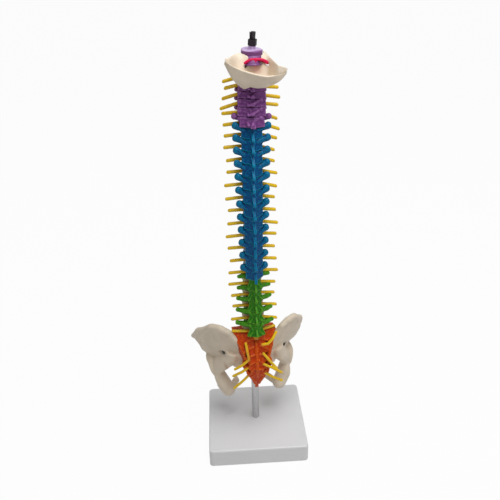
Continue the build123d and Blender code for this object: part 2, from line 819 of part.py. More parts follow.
def sacral_profile():
    """The sacrum and coccyx seen from the side: a curved band that thins towards the coccyx."""
    tip = (coccyx_hook - sacrum_bow, -sacrum_drop - coccyx_length)
    back = []
    front = []
    for share in sacrum_profile_shares:
        middle = sacral_point(share)
        back.append((middle[1] - sacral_half_thickness(share), middle[2]))
        front.append((middle[1] + sacral_half_thickness(share), middle[2]))
    top = sacrum_thickness / 2
    with BuildSketch() as profile:
        with BuildLine():
            Line((back[0][0], top), (front[0][0], top))
            Line((front[0][0], top), front[0])
            Spline(*front, (tip[0] + coccyx_end, tip[1]))
            Line((tip[0] + coccyx_end, tip[1]), (tip[0] - coccyx_end, tip[1]))
            Spline((tip[0] - coccyx_end, tip[1]), *reversed(back))
            Line(back[0], (back[0][0], top))
        make_face()
    return profile.sketch


def build_sacrum():
    """The sacrum with the coccyx, its canal and foramina, and the seats of the rod and the core."""
    frame = pelvis()
    spread = bone_gap / 2
    with BuildPart() as tunnels:
        add_limb(frame, *tail_points(), cord_diameter / 2 + spread, nerve_diameter / 2 + spread)
        add_sacral_nerves(spread)
    with BuildPart() as sacrum:
        with BuildSketch(within(frame, Plane(origin=(0, 0, 0), x_dir=(1, 0, 0), z_dir=(0, -1, 0)))):
            add(sacral_outline())
        extrude(amount=2 * sacrum_drop, both=True)
        with BuildSketch(within(frame, Plane.YZ)):
            add(sacral_profile())
        extrude(amount=sacrum_width, both=True, mode=Mode.INTERSECT)
        for share in crest_shares:
            middle = sacral_point(share)
            knob = (0, middle[1] - sacral_half_thickness(share), middle[2])
            with Locations(within(frame, Plane(origin=knob, z_dir=(0, -1, 0)))):
                Sphere(crest_radius)
        split(bisect_by=level(0), keep=Keep.BOTTOM)
        for side in (-1, 1):
            split(bisect_by=joint_plane(side), keep=Keep.BOTTOM)
        with Locations(Plane.XY):
            Cylinder(rod_diameter / 2 + rod_clearance, rod_top,
                     align=(Align.CENTER, Align.CENTER, Align.MIN), mode=Mode.SUBTRACT)
        with Locations(level(0)):
            Cylinder(core_diameter / 2 + bore_clearance, 2 * (core_seat_depth + seat_gap), mode=Mode.SUBTRACT)
        add(tunnels.part, mode=Mode.SUBTRACT)
    return largest(sacrum.part)


def wing_plane(side):
    """The plane of the iliac wing, x along it towards the front and z to its outer face."""
    turn = radians(wing_direction)
    flare = radians(wing_flare)
    along = Vector(side * cos(turn), sin(turn), 0)
    out = Vector(side * sin(turn) * cos(flare), -cos(turn) * cos(flare), -sin(flare))
    origin = (side * wing_root_side, wing_root_forward, -wing_root_drop)
    return within(pelvis(), Plane(origin=origin, x_dir=along, z_dir=out))


def wing_outline(side):
    """The outline of the iliac wing: a long curved crest, then down to the socket and the notch."""
    # On the left side the plane's own y runs down
    crest = [(x, y * side) for x, y in wing_crest]
    foot = [(x, y * side) for x, y in wing_foot]
    with BuildSketch() as outline:
        with BuildLine():
            Spline(*crest)
            Spline(crest[-1], *foot, crest[0])
        make_face()
    return outline.sketch


def wing_bow(along):
    """How far the bent wing stands inside its plane at a place along it."""
    return sqrt(wing_bend**2 - (along - wing_middle) ** 2) - wing_bend


def build_wing(side):
    """The iliac wing: a plate bent round the belly, with a thick round crest."""
    wing = wing_plane(side)
    axis_point = (wing_middle, 0, -wing_bend)
    axis = within(wing, Plane(origin=axis_point, x_dir=(1, 0, 0), z_dir=(0, 1, 0)))
    tall = 4 * wing_bend
    with BuildPart() as blade:
        with BuildSketch(wing):
            add(wing_outline(side))
        extrude(amount=wing_blank_depth, both=True)
        with Locations(axis):
            Cylinder(wing_bend + wing_thickness / 2, tall, mode=Mode.INTERSECT)
            Cylinder(wing_bend - wing_thickness / 2, tall, mode=Mode.SUBTRACT)
        for start, end in zip(wing_crest, wing_crest[1:]):
            low = (start[0], start[1] * side, wing_bow(start[0]))
            high = (end[0], end[1] * side, wing_bow(end[0]))
            add_limb(wing, low, high, rim_thickness / 2, rim_thickness / 2)
    return blade.part


def build_hip(side):
    """One hip bone: wing, socket, seat bone and pubic bone round an open foramen."""
    frame = pelvis()
    blade = build_wing(side)

    def place_at(point):
        return (side * point[0], point[1], point[2])

    with BuildPart() as hip:
        add(blade)
        for start, end, start_radius, end_radius in hip_limbs:
            add_limb(frame, place_at(start), place_at(end), start_radius, end_radius)
        with Locations(within(frame, Plane(origin=place_at(socket_middle), z_dir=place_at(socket_facing)))):
            Sphere(socket_diameter / 2 + socket_wall)
            Cylinder(socket_diameter, socket_diameter,
                     align=(Align.CENTER, Align.CENTER, Align.MIN), mode=Mode.SUBTRACT)
            Sphere(socket_diameter / 2, mode=Mode.SUBTRACT)
        split(bisect_by=joint_plane(side), keep=Keep.TOP)
        front = Plane(origin=(side * seat_gap / 2, 0, 0), z_dir=(side, 0, 0))
        split(bisect_by=within(frame, front), keep=Keep.TOP)
        with Locations(screw_plane(side)):
            Cylinder(screw_head_diameter / 2 + seat_gap, 2 * screw_recess, mode=Mode.SUBTRACT)
            Cylinder(screw_diameter / 2 + rod_clearance, 2 * screw_length, mode=Mode.SUBTRACT)
    return largest(hip.part)


def screw_plane(side):
    """The plane on the outside of a hip bone where its screw goes in, z outwards."""
    start = Vector(side * screw_side, screw_forward, -screw_drop)
    aim = Vector(side * joint_half_width, joint_forward, -joint_drop)
    return within(pelvis(), Plane(origin=start, z_dir=start - aim))


def build_screws():
    """The two screws that hold the hip bones to the sacrum."""
    with BuildPart() as screws:
        for side in (-1, 1):
            seat = screw_plane(side).offset(-screw_recess)
            with BuildSketch(seat):
                Circle(screw_head_diameter / 2)
            extrude(amount=screw_head_height)
            with BuildSketch(seat):
                Circle(screw_diameter / 2)
            extrude(amount=screw_recess - screw_length)
            with BuildSketch(seat.offset(screw_head_height)):
                Rectangle(screw_head_diameter, screw_slot)
            extrude(amount=-screw_head_height / 2, mode=Mode.SUBTRACT)
    return screws.part


def build_core():
    """The flexible core that every bone is threaded on, from the sacrum to above the brain stem."""
    start = spine_wire @ 0
    with BuildPart() as core:
        with BuildSketch(Plane(origin=start, z_dir=spine_wire % 0)):
            Circle(core_diameter / 2)
        sweep(path=spine_wire)
    return core.part


def build_core_nut():
    """The nut that closes the stack, on the collar of the brain stem."""
    seat = level(atlas_top).offset(stem_height + collar_height)
    with BuildPart() as nut:
        with BuildSketch(seat):
            RegularPolygon(core_nut_width / 2, 6, major_radius=False)
        extrude(amount=core_nut_height)
        chamfer(nut.edges().group_by(Axis.Z)[-1], core_nut_height / 10)
        with Locations(seat):
            Cylinder(core_diameter / 2 + rod_clearance, 3 * core_nut_height, mode=Mode.SUBTRACT)
    return nut.part


def cord_sections():
    """The level cuts through the spinal cord, from its tail up to the brain stem."""
    top, low = tail_points()
    cuts = [within(pelvis(), Plane(origin=low)), within(pelvis(), Plane(origin=top))]
    for place, (name, bone) in enumerate(column):
        cuts.append(within(middle_of(place), Plane(origin=(0, -canal_depth(bone), 0))))
    cuts.append(within(level(atlas_top), Plane(origin=(0, -canal_depth(axis_bone), 0))))
    return cuts


def build_cord():
    """The spinal cord with the stubs of its nerves, cut off short, in one piece."""
    tail, *upper = cord_sections()
    with BuildPart() as cord:
        with BuildSketch(tail):
            Circle(nerve_diameter / 2)
        for cut in upper:
            with BuildSketch(cut):
                Circle(cord_diameter / 2)
        loft(ruled=True)
        for place, (name, bone) in enumerate(column):
            gap = level(floors[name] - bone.disc / 2)
            back = canal_depth(bone)
            for side in (-1, 1):
                droop = nerve_droop * sin(nerve_wander * (place + side))
                reach = bone.nerve_reach + nerve_unevenness * sin(nerve_wander * (2 * place - side))
                end = (side * reach, nerve_sweep - back, droop)
                add_tube(gap, (0, -back, 0), end, nerve_diameter / 2)
        add_sacral_nerves(0)
    return cord.part


def build_rod():
    """The support rod, with a turned-down end that passes through the base."""
    with BuildPart() as rod:
        with BuildSketch(Plane.XY.offset(base_height)):
            Circle(rod_diameter / 2)
        extrude(amount=rod_top - base_height - seat_gap)
        with BuildSketch(Plane.XY.offset(nut_floor - rod_thread_end)):
            Circle(rod_shoulder_diameter / 2)
        extrude(amount=base_height - nut_floor + rod_thread_end)
        chamfer(rod.edges().group_by(Axis.Z)[-1], rod_edge)
    return rod.part


def build_base():
    """The hollow square base with rounded edges, ribs and a boss underneath."""
    with BuildPart() as base:
        with BuildSketch():
            RectangleRounded(base_width, base_width, base_corner_radius)
        extrude(amount=base_height)
        fillet(base.faces().sort_by(Axis.Z)[-1].edges(), base_edge_radius)
        inner_width = base_width - 2 * base_wall
        with BuildSketch():
            RectangleRounded(inner_width, inner_width, base_corner_radius - base_wall / 2)
        extrude(amount=base_height - base_wall, mode=Mode.SUBTRACT)
        with BuildSketch(Plane.XY.offset(boss_floor)):
            Circle(base_boss_diameter / 2)
            Rectangle(base_width - base_wall, base_rib)
            Rectangle(base_rib, base_width - base_wall)
        extrude(amount=base_height - base_wall / 2 - boss_floor)
        with Locations(Plane.XY):
            Cylinder(rod_shoulder_diameter / 2 + rod_clearance, 3 * base_height, mode=Mode.SUBTRACT)
    return base.part


def build_base_nut():
    """The nut with its wide flange that pulls the support rod down on the base."""
    with BuildPart() as nut:
        with BuildSketch(Plane.XY.offset(boss_floor - flange_thickness)):
            Circle(flange_diameter / 2)
            Circle(rod_shoulder_diameter / 2 + rod_clearance, mode=Mode.SUBTRACT)
        extrude(amount=flange_thickness)
        with BuildSketch(Plane.XY.offset(nut_floor)):
            RegularPolygon(base_nut_width / 2, 6, major_radius=False)
            Circle(rod_shoulder_diameter / 2 + rod_clearance, mode=Mode.SUBTRACT)
        extrude(amount=base_nut_height)
    return nut.part


# The column, its discs, and everything that is set out from them
for place in range(len(column)):
    finish(build_vertebra(place), name_of(place))
    finish(build_disc(place), f"disc_{name_of(place - 1)}_{name_of(place)}")
finish(build_atlas(), "C1")
finish(build_stem(), "brain_stem")
finish(build_plate(), "occipital_plate")
finish(build_artery(0), "vertebral_artery")
finish(build_sacrum(), "sacrum_and_coccyx")
finish(build_hip(-1), "hip_bone_left")
finish(build_hip(1), "hip_bone_right")
finish(build_screws(), "hip_screws")
finish(build_cord(), "spinal_cord_and_nerves")
finish(build_core(), "flexible_core")
finish(build_core_nut(), "core_nut")
finish(build_rod(), "support_rod")
finish(build_base(), "base")
finish(build_base_nut(), "base_nut")
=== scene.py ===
"""Gives the coloured spine model its cast bone surfaces, paints, metals and studio."""
import math

import bmesh
import bpy
from bpy.props import FloatProperty, FloatVectorProperty, IntProperty, PointerProperty
from mathutils import Matrix, Vector
from mathutils.bvhtree import BVHTree


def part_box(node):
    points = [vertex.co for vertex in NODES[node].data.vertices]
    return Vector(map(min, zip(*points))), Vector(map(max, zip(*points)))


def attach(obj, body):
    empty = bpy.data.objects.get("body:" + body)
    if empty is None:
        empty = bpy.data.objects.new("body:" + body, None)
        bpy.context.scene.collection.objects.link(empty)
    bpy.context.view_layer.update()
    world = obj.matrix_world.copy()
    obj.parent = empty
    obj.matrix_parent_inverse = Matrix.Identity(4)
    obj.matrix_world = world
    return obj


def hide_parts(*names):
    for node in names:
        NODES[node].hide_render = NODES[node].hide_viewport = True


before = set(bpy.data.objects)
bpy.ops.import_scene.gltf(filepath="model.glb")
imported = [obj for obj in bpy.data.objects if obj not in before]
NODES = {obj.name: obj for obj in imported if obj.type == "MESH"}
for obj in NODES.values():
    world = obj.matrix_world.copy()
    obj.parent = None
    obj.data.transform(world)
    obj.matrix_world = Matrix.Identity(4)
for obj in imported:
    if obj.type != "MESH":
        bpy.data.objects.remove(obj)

bl_info = {
    "name": "Spine model finish",
    "version": (1, 0, 0),
    "blender": (4, 5, 0),
    "location": "3D View > Sidebar > Spine",
    "description": "Cast bone surfaces, paints and studio for a coloured spine model",
    "category": "Object",
}

MM = 0.001
BODY = "root"
MERGE_DISTANCE = 0.002 * MM
OPENNESS = "openness"
BALL = "ball"
RAYS = 16
RAY_START = 0.08 * MM
SEEDS = 97
REGIONS = {"C": "neck", "T": "chest", "L": "waist"}
CASTINGS = []
PELVIS_TURN = 8
PELVIS_TOP = 143
PELVIS_FORWARD = 2
WING_TURN = 41
WING_FLARE = 15
WING_BEND = 70
WING_MIDDLE = 28
WING_START = (18, -12, -28)
CAMERA_PLACE = (-26.9, -578.5, 520.1)
CAMERA_HEADING = -2.53
CAMERA_DROP = 25.98
CAMERA_ROLL = -1.63
CAMERA_LENS = 45.14
SENSOR_WIDTH = 36
LAMP_AIM = (0, 0, 0.2)
FLOOR_REACH = 40
WORLD_WHITE = 0.97
# Name, place, size and setting of its power
LAMPS = (("key_lamp", (0.22, -0.25, 1.32), 0.9, "key"), ("fill_lamp", (0.55, -0.95, 0.55), 0.8, "fill"))


def colour_setting(name, description, default):
    """A colour that the user can change."""
    return FloatVectorProperty(
        name=name, description=description, default=default, subtype="COLOR", size=3, min=0, max=1,
    )


def length_setting(name, description, default):
    """A length in metres that the user can change."""
    return FloatProperty(name=name, description=description, default=default, unit="LENGTH", precision=5)


class BoneSettings(bpy.types.PropertyGroup):
    """How coarse, smooth and rough the cast bones are."""

    cell: length_setting("Cell", "Size of the grid a bone's surface is rebuilt on", 0.55 * MM)
    fine_cell: length_setting("Fine cell", "The same for thin pieces", 0.42 * MM)
    smoothing: IntProperty(name="Smoothing", description="Rounds of smoothing", default=6, min=0, max=40)
    unevenness: length_setting("Unevenness", "Depth of the casting's dents", 0.55 * MM)
    dent_size: length_setting("Dent size", "Width of the casting's dents", 4 * MM)
    seed: IntProperty(name="Seed", description="Changes the dents of every bone", default=7)
    reach: length_setting("Reach", "How far off a wall still darkens a hollow", 7 * MM)


class PaintSettings(bpy.types.PropertyGroup):
    """The colours of the model."""

    neck: colour_setting("Neck", "Purple of the neck vertebrae", (0.16, 0.045, 0.19))
    chest: colour_setting("Chest", "Blue of the chest vertebrae", (0.0, 0.055, 0.185))
    waist: colour_setting("Waist", "Green of the waist vertebrae", (0.018, 0.15, 0.003))
    sacrum: colour_setting("Sacrum", "Orange-red of the sacrum", (0.50, 0.042, 0.002))
    bone: colour_setting("Bone", "Bone white of hips and skull", (0.76, 0.65, 0.51))
    disc: colour_setting("Disc", "Cream of the discs", (0.68, 0.60, 0.45))
    nerve: colour_setting("Nerve", "Yellow of the nerves", (0.95, 0.60, 0.003))
    nerve_root: colour_setting("Nerve root", "Orange at the roots of the nerves", (0.80, 0.34, 0.004))
    stem: colour_setting("Stem", "Purple of the brain stem's side", (0.22, 0.065, 0.24))
    # painted light: the brain stem is one purple paint all over, and this paler lilac stands for its flat top
    # lit from above
    lit_stem_top: colour_setting("Stem top", "Lilac of the brain stem's top", (0.62, 0.45, 0.72))
    artery: colour_setting("Artery", "Red of the artery", (0.66, 0.006, 0.07))
    base: colour_setting("Base", "White of the base", (0.80, 0.80, 0.81))
    steel: colour_setting("Steel", "Bright steel of the rod", (0.60, 0.60, 0.60))
    dull_steel: colour_setting("Dull steel", "Grey of nut and screws", (0.20, 0.19, 0.18))
    core: colour_setting("Core", "Dark core", (0.025, 0.025, 0.025))


class ThreadSettings(bpy.types.PropertyGroup):
    """The thread on the end of the core."""

    pitch: length_setting("Pitch", "Rise of the thread in one turn", 0.7 * MM)
    depth: length_setting("Depth", "Radius of the thread's ridge", 0.28 * MM)


class StageSettings(bpy.types.PropertyGroup):
    """Floor and lamps."""

    key: FloatProperty(name="Key", description="Power of the big lamp above", default=10.5, unit="POWER")
    fill: FloatProperty(name="Fill", description="Power of the lamp at the side", default=0.45, unit="POWER")
    ambient: FloatProperty(name="Ambient", description="Strength of the surroundings", default=0.33)
    floor: colour_setting("Floor", "Colour of the floor", (0.70, 0.70, 0.70))
    whiteness: FloatProperty(name="Whiteness", description="How white the floor shows", default=0.96)


class Wire:
    """A socket that can stand in a sum, a difference, a product or a quotient."""

    def __init__(self, tree, socket):
        self.tree = tree
        self.socket = socket

    def beside(self, name):
        """Another output of the same node."""
        return Wire(self.tree, self.socket.node.outputs[name])

    def joined(self, operation, first, second):
        """A Math node with a wire or a number in each socket."""
        return Nodes(self.tree).node("ShaderNodeMath", {0: first, 1: second}, operation=operation)

    def __add__(self, other):
        return self.joined("ADD", self, other)

    def __radd__(self, other):
        return self.joined("ADD", other, self)

    def __sub__(self, other):
        return self.joined("SUBTRACT", self, other)

    def __rsub__(self, other):
        return self.joined("SUBTRACT", other, self)

    def __mul__(self, other):
        return self.joined("MULTIPLY", self, other)

    def __rmul__(self, other):
        return self.joined("MULTIPLY", other, self)

    def __truediv__(self, other):
        return self.joined("DIVIDE", self, other)

    def __rtruediv__(self, other):
        return self.joined("DIVIDE", other, self)


class Nodes:
    """A node tree while it is being made."""

    def __init__(self, tree):
        self.tree = tree

    def add(self, kind, sockets, **settings):
        """One node with what goes into its sockets and its settings."""
        node = self.tree.nodes.new(kind)
        for name, value in settings.items():
            setattr(node, name, value)
        for name, value in sockets.items():
            if isinstance(value, Wire):
                self.tree.links.new(value.socket, node.inputs[name])
            else:
                node.inputs[name].default_value = value
        return node

    def node(self, kind, sockets=None, output=0, **settings):
        """An output of a new node."""
        return Wire(self.tree, self.add(kind, sockets or {}, **settings).outputs[output])


class Paint(Nodes):
    """A material while it is being made."""

    def __init__(self, name):
        self.material = bpy.data.materials.new(name)
        self.material.use_nodes = True
        super().__init__(self.material.node_tree)
        self.tree.nodes.clear()
        self.place = self.node("ShaderNodeTexCoord", {}, "Object")

    def noise(self, size, detail=2.0, stretch=None):
        """Smooth noise from 0 to 1 with spots of about this size in metres."""
        place = self.place
        if stretch:
            place = self.node("ShaderNodeMapping", {"Vector": place, "Scale": stretch})
        return self.node("ShaderNodeTexNoise", {"Vector": place, "Scale": 1 / size, "Detail": detail})

    def between(self, value, low, high):
        """0 below low, 1 above high, and straight in between."""
        return self.node(
            "ShaderNodeMapRange", {"Value": value, "From Min": low, "From Max": high}, clamp=True,
        )

    def blend(self, mask, first, second):
        """A colour between two colours."""
        return self.node(
            "ShaderNodeMix", {0: mask, 6: solid(first), 7: solid(second)}, 2, data_type="RGBA",
        )

    def axis(self, which):
        """One of the object's own coordinates."""
        return self.node("ShaderNodeSeparateXYZ", {0: self.place}, which)

    def size_of(self, value):
        """A value without its sign."""
        return self.node("ShaderNodeMath", {0: value}, operation="ABSOLUTE")

    def pointed(self):
        """Above a half on edges, below it in hollows."""
        return self.node("ShaderNodeNewGeometry", {}, "Pointiness")

    def openness(self):
        """0 deep in a gap, 1 where the surface lies open."""
        return self.node("ShaderNodeAttribute", {}, "Fac", attribute_name=OPENNESS)

    def streak(self, start, end, half_width):
        """1 on the line between two places, given by their distance from the middle and height, 0 off it."""
        run = Vector(end) - Vector(start)
        length = run.length
        run.normalize()
        aside = self.axis(0) - start[0]
        up = self.axis(2) - start[1]
        off = self.size_of(run.y * aside - run.x * up)
        on = run.x * aside + run.y * up
        beside = 1 - self.between(off, 0.3 * half_width, half_width)
        ahead = self.between(on, 0, 3 * half_width)
        behind = 1 - self.between(on, length - 2 * half_width, length)
        near = 1 - self.between(self.axis(1), -2 * MM, 2 * MM)
        return beside * ahead * behind * near

    def spot(self, middle, inner, outer):
        """1 round a place, 0 away from it."""
        off = self.node("ShaderNodeVectorMath", {0: self.place, 1: middle}, 1, operation="DISTANCE")
        return 1 - self.between(off, inner, outer)

    def bumps(self, height, strength, distance):
        """A rough surface."""
        return self.node(
            "ShaderNodeBump", {"Height": height, "Strength": strength, "Distance": distance},
        )

    def surface(self, **sockets):
        """The surface itself, joined to the output."""
        named = {key.replace("_", " "): value for key, value in sockets.items()}
        return self.close(self.node("ShaderNodeBsdfPrincipled", named))

    def close(self, shader):
        """Sends a shader to the output."""
        self.add("ShaderNodeOutputMaterial", {"Surface": shader})
        return self.material


class Shape(Nodes):
    """A geometry tree while it is being made."""

    def __init__(self, name, **inputs):
        super().__init__(bpy.data.node_groups.new(name, "GeometryNodeTree"))
        for label, kind in inputs.items():
            self.tree.interface.new_socket(label, in_out="INPUT", socket_type=f"NodeSocket{kind}")
        self.tree.interface.new_socket("Geometry", in_out="OUTPUT", socket_type="NodeSocketGeometry")
        source = self.tree.nodes.new("NodeGroupInput").outputs
        self.given = {label: Wire(self.tree, source[label]) for label in inputs}

    def place(self):
        """Where each point is."""
        return self.node("GeometryNodeInputPosition")

    def normal(self):
        """Which way the surface faces at each point."""
        return self.node("GeometryNodeInputNormal")

    def scaled(self, vector, factor):
        """A longer or shorter vector."""
        return self.node("ShaderNodeVectorMath", {0: vector, "Scale": factor}, operation="SCALE")

    def moved(self, place, offset):
        """The sum of two vectors."""
        return self.node("ShaderNodeVectorMath", {0: place, 1: offset})

    def close(self, geometry):
        """Makes the shape real, gives it its material and sends it out."""
        real = self.node("GeometryNodeRealizeInstances", {"Geometry": geometry})
        last = self.node("GeometryNodeSetMaterial", {"Geometry": real, "Material": self.given["Material"]})
        self.add("NodeGroupOutput", {"Geometry": last})
        return self.tree


def solid(colour):
    """A colour with its alpha, or a colour socket as it is."""
    if isinstance(colour, Wire):
        return colour
    return (*colour[:3], 1)


def shade(colour, factor):
    """A lighter or darker colour."""
    return tuple(min(1, channel * factor) for channel in colour)


def painted(name, colour, dark=0.3, bright=None, roughness=0.33, gloss=0.16):
    """Semi-gloss paint on a casting, lighter on edges where it is worn thin and as a painted highlight, and
    darker in hollows and between parts as painted shade.
    """
    paint = Paint(name)
    patches = paint.noise(7 * MM)
    spots = paint.noise(1.6 * MM, 4)
    grain = paint.noise(0.35 * MM, 2)
    # painted shade: darker where the surface lies closed in, in hollows and in the gaps between parts, mixed
    # with random patches
    lit = paint.between(paint.openness(), 0.5, 0.95)
    shade_and_tone = paint.between(0.6 * lit + 0.2 * patches + 0.4 * spots, 0.35, 0.95)
    # lighter on sharp edges: partly worn paint, partly a painted highlight
    edge = paint.between(paint.pointed() + 0.06 * spots, 0.525, 0.57)
    bright = bright or shade(colour, 2.2)
    deep = paint.blend(shade_and_tone, shade(colour, dark), shade(colour, 1.25))
    full = paint.blend(0.85 * edge, deep, bright)
    return paint.surface(
        Base_Color=full,
        Roughness=roughness - 0.08 + 0.2 * spots,
        Normal=paint.bumps(0.6 * spots + 0.4 * grain, 0.25, 0.16 * MM),
        Specular_IOR_Level=gloss,
    )


def bone_white(name, colour, stain=None, blush=None):
    """Cast bone white, warm brown in its hollows and between parts as painted shade mixed with random stains,
    and a streak or a blush where one is asked for.
    """
    paint = Paint(name)
    patches = paint.noise(12 * MM, 3)
    spots = paint.noise(1.2 * MM, 4)
    # painted shade: hollows, gaps between parts and dips in the surface turn warm brown, mixed with random
    # stain patches
    lit = paint.between(paint.openness(), 0.3, 0.85)
    raised = paint.between(paint.pointed(), 0.44, 0.56)
    clouds = paint.between(0.35 * patches + 0.3 * raised + 0.4 * lit, 0.2, 0.75)
    shaded_and_stained = paint.blend(clouds, (0.36, 0.27, 0.17), colour)
    full = paint.blend(paint.between(patches, 0.55, 0.8), shaded_and_stained, shade(colour, 1.12))
    if stain:
        full = paint.blend(0.55 * paint.streak(*stain), full, (0.46, 0.24, 0.10))
    if blush:
        full = paint.blend(0.6 * paint.spot(blush, 2 * MM, 7 * MM) * patches, full, (0.75, 0.12, 0.16))
    return paint.surface(
        Base_Color=full,
        Roughness=0.4 + 0.16 * spots,
        Normal=paint.bumps(spots, 0.3, 0.14 * MM),
    )


def nerve_yellow(name, colour, root):
    """Yellow nerve, orange where it leaves the column."""
    paint = Paint(name)
    aside = paint.size_of(paint.axis(0))
    mottle = paint.noise(2.2 * MM, 3)
    outer = paint.between(aside + 3 * MM * mottle, 8 * MM, 12 * MM)
    full = paint.blend(outer, root, paint.blend(mottle, shade(colour, 0.85), shade(colour, 1.1)))
    return paint.surface(
        Base_Color=full, Roughness=0.3 + 0.15 * mottle, Normal=paint.bumps(mottle, 0.2, 0.15 * MM),
    )


def stem_paint(name, side, top, height):
    """Purple side, and the flat top painted paler as painted light falling on it from above."""
    paint = Paint(name)
    patches = paint.noise(5 * MM, 3)
    # painted light: the flat top turns to the paler lit colour
    lit_crown = paint.between(paint.axis(2), height - 0.5 * MM, height)
    lower = paint.blend(patches, shade(side, 0.8), shade(side, 1.3))
    return paint.surface(
        Base_Color=paint.blend(lit_crown, lower, top),
        Roughness=0.34 + 0.12 * patches,
        Normal=paint.bumps(patches, 0.15, 0.2 * MM),
    )


def metal(name, colour, roughness, stretch):
    """Drawn or galvanised metal with fine streaks."""
    paint = Paint(name)
    streaks = paint.noise(0.6 * MM, 3, stretch)
    blotches = paint.noise(3 * MM, 3)
    full = paint.blend(0.5 * streaks + 0.5 * blotches, shade(colour, 0.7), shade(colour, 1.15))
    return paint.surface(
        Base_Color=full,
        Metallic=1.0,
        Roughness=roughness + 0.14 * streaks,
        Normal=paint.bumps(streaks, 0.12, 0.05 * MM),
    )


def base_plastic(name, colour):
    """White moulded plastic with a fine grain and faint scuffs."""
    paint = Paint(name)
    clouds = paint.noise(30 * MM, 3)
    scuffs = paint.between(paint.noise(1.4 * MM, 5, (1, 0.12, 1)), 0.62, 0.72)
    grain = paint.noise(0.4 * MM, 2)
    clean = paint.blend(clouds, shade(colour, 0.97), shade(colour, 1.02))
    return paint.surface(
        Base_Color=paint.blend(0.12 * scuffs, clean, shade(colour, 0.75)),
        Roughness=0.3 + 0.08 * grain + 0.1 * scuffs,
        Normal=paint.bumps(grain, 0.06, 0.05 * MM),
    )


def plain_core(name, colour):
    """The dull dark core."""
    paint = Paint(name)
    mottle = paint.noise(1.2 * MM, 3)
    return paint.surface(
        Base_Color=paint.blend(mottle, shade(colour, 0.7), shade(colour, 1.6)),
        Roughness=0.5 + 0.2 * mottle,
    )


def unit(value):
    """A value kept between 0 and 1."""
    return max(0.0, min(1.0, value))


def eased(share):
    """A share that starts and ends softly."""
    return share * share * (3 - 2 * share)


def mixed(first, second, share):
    """The numbers between two rows of numbers."""
    return [start + (end - start) * share for start, end in zip(first, second)]


def placed(name, data):
    """An object in the scene that shows a mesh, a lamp or a camera."""
    piece = bpy.data.objects.new(name, data)
    bpy.context.scene.collection.objects.link(piece)
    return piece


def merged_copy(node, name):
    """A closed copy of a CAD node's mesh as an object of its own."""
    mesh = NODES[node].data.copy()
    mesh.name = name
    shell = bmesh.new()
    shell.from_mesh(mesh)
    bmesh.ops.remove_doubles(shell, verts=shell.verts, dist=MERGE_DISTANCE)
    shell.to_mesh(mesh)
    shell.free()
    mesh.materials.clear()
    return placed(name, mesh)


def empty_piece(name):
    """An object without any surface yet."""
    return placed(name, bpy.data.meshes.new(name))


def settled(piece):
    """Turns a piece's modifiers into plain mesh."""
    graph = bpy.context.evaluated_depsgraph_get()
    mesh = bpy.data.meshes.new_from_object(piece.evaluated_get(graph))
    piece.modifiers.clear()
    old = piece.data
    piece.data = mesh
    mesh.name = piece.name
    bpy.data.meshes.remove(old)


def casting_tree():
    """Moves a surface in and out along its normals, as dents and lumps of a casting do."""
    shape = Shape("Casting", Geometry="Geometry", Depth="Float", Width="Float", Seed="Float",
                  Swelling="Float", Material="Material")
    given = shape.given
    noise = shape.node(
        "ShaderNodeTexNoise",
        {"Vector": shape.place(), "W": given["Seed"], "Scale": 1 / given["Width"], "Detail": 3.0},
        noise_dimensions="4D",
    )
    reach = (noise - 0.5) * given["Depth"] + given["Swelling"]
    offset = shape.scaled(shape.normal(), reach)
    return shape.close(
        shape.node("GeometryNodeSetPosition", {"Geometry": given["Geometry"], "Offset": offset}),
    )


def limbs_tree():
    """Adds a ball of its own size on every point of another object."""
    shape = Shape("Limbs", Geometry="Geometry", Points="Object", Material="Material")
    points = shape.node("GeometryNodeObjectInfo", {"Object": shape.given["Points"]}, "Geometry")
    ball = shape.node("GeometryNodeMeshIcoSphere", {"Radius": 1.0, "Subdivisions": 3})
    size = shape.node("GeometryNodeInputNamedAttribute", {"Name": BALL}, data_type="FLOAT")
    balls = shape.node(
        "GeometryNodeInstanceOnPoints", {"Points": points, "Instance": ball, "Scale": size},
    )
    both = shape.add("GeometryNodeJoinGeometry", {"Geometry": balls})
    shape.tree.links.new(shape.given["Geometry"].socket, both.inputs["Geometry"])
    return shape.close(Wire(shape.tree, both.outputs[0]))


def ray_directions():
    """Evenly spread directions, the same ones every time."""
    golden = math.pi * (3 - math.sqrt(5))
    for place in range(RAYS):
        height = 1 - (2 * place + 1) / RAYS
        radius = math.sqrt(1 - height * height)
        yield (radius * math.cos(golden * place), radius * math.sin(golden * place), height)


def openness_tree():
    """Stores how open to its surroundings a surface lies, from short rays off every point."""
    shape = Shape("Openness", Geometry="Geometry", Surroundings="Object", Reach="Float",
                  Material="Material")
    given = shape.given
    around = shape.node("GeometryNodeObjectInfo", {"Object": given["Surroundings"]}, "Geometry")
    normal = shape.normal()
    start = shape.moved(shape.place(), shape.scaled(normal, RAY_START))
    shut = 0
    for direction in ray_directions():
        hit = shape.node(
            "GeometryNodeRaycast",
            {"Target Geometry": around, "Source Position": start,
             "Ray Direction": shape.moved(normal, direction), "Ray Length": given["Reach"]},
            "Is Hit",
        )
        shut = shut + hit * (1 - hit.beside("Hit Distance") / given["Reach"])
    even = shape.node(
        "GeometryNodeBlurAttribute", {"Value": 1 - shut * (1 / RAYS), "Iterations": 2}, data_type="FLOAT",
    )
    stored = shape.node(
        "GeometryNodeStoreNamedAttribute", {"Geometry": given["Geometry"], "Name": OPENNESS, "Value": even},
        data_type="FLOAT", domain="POINT",
    )
    return shape.close(stored)


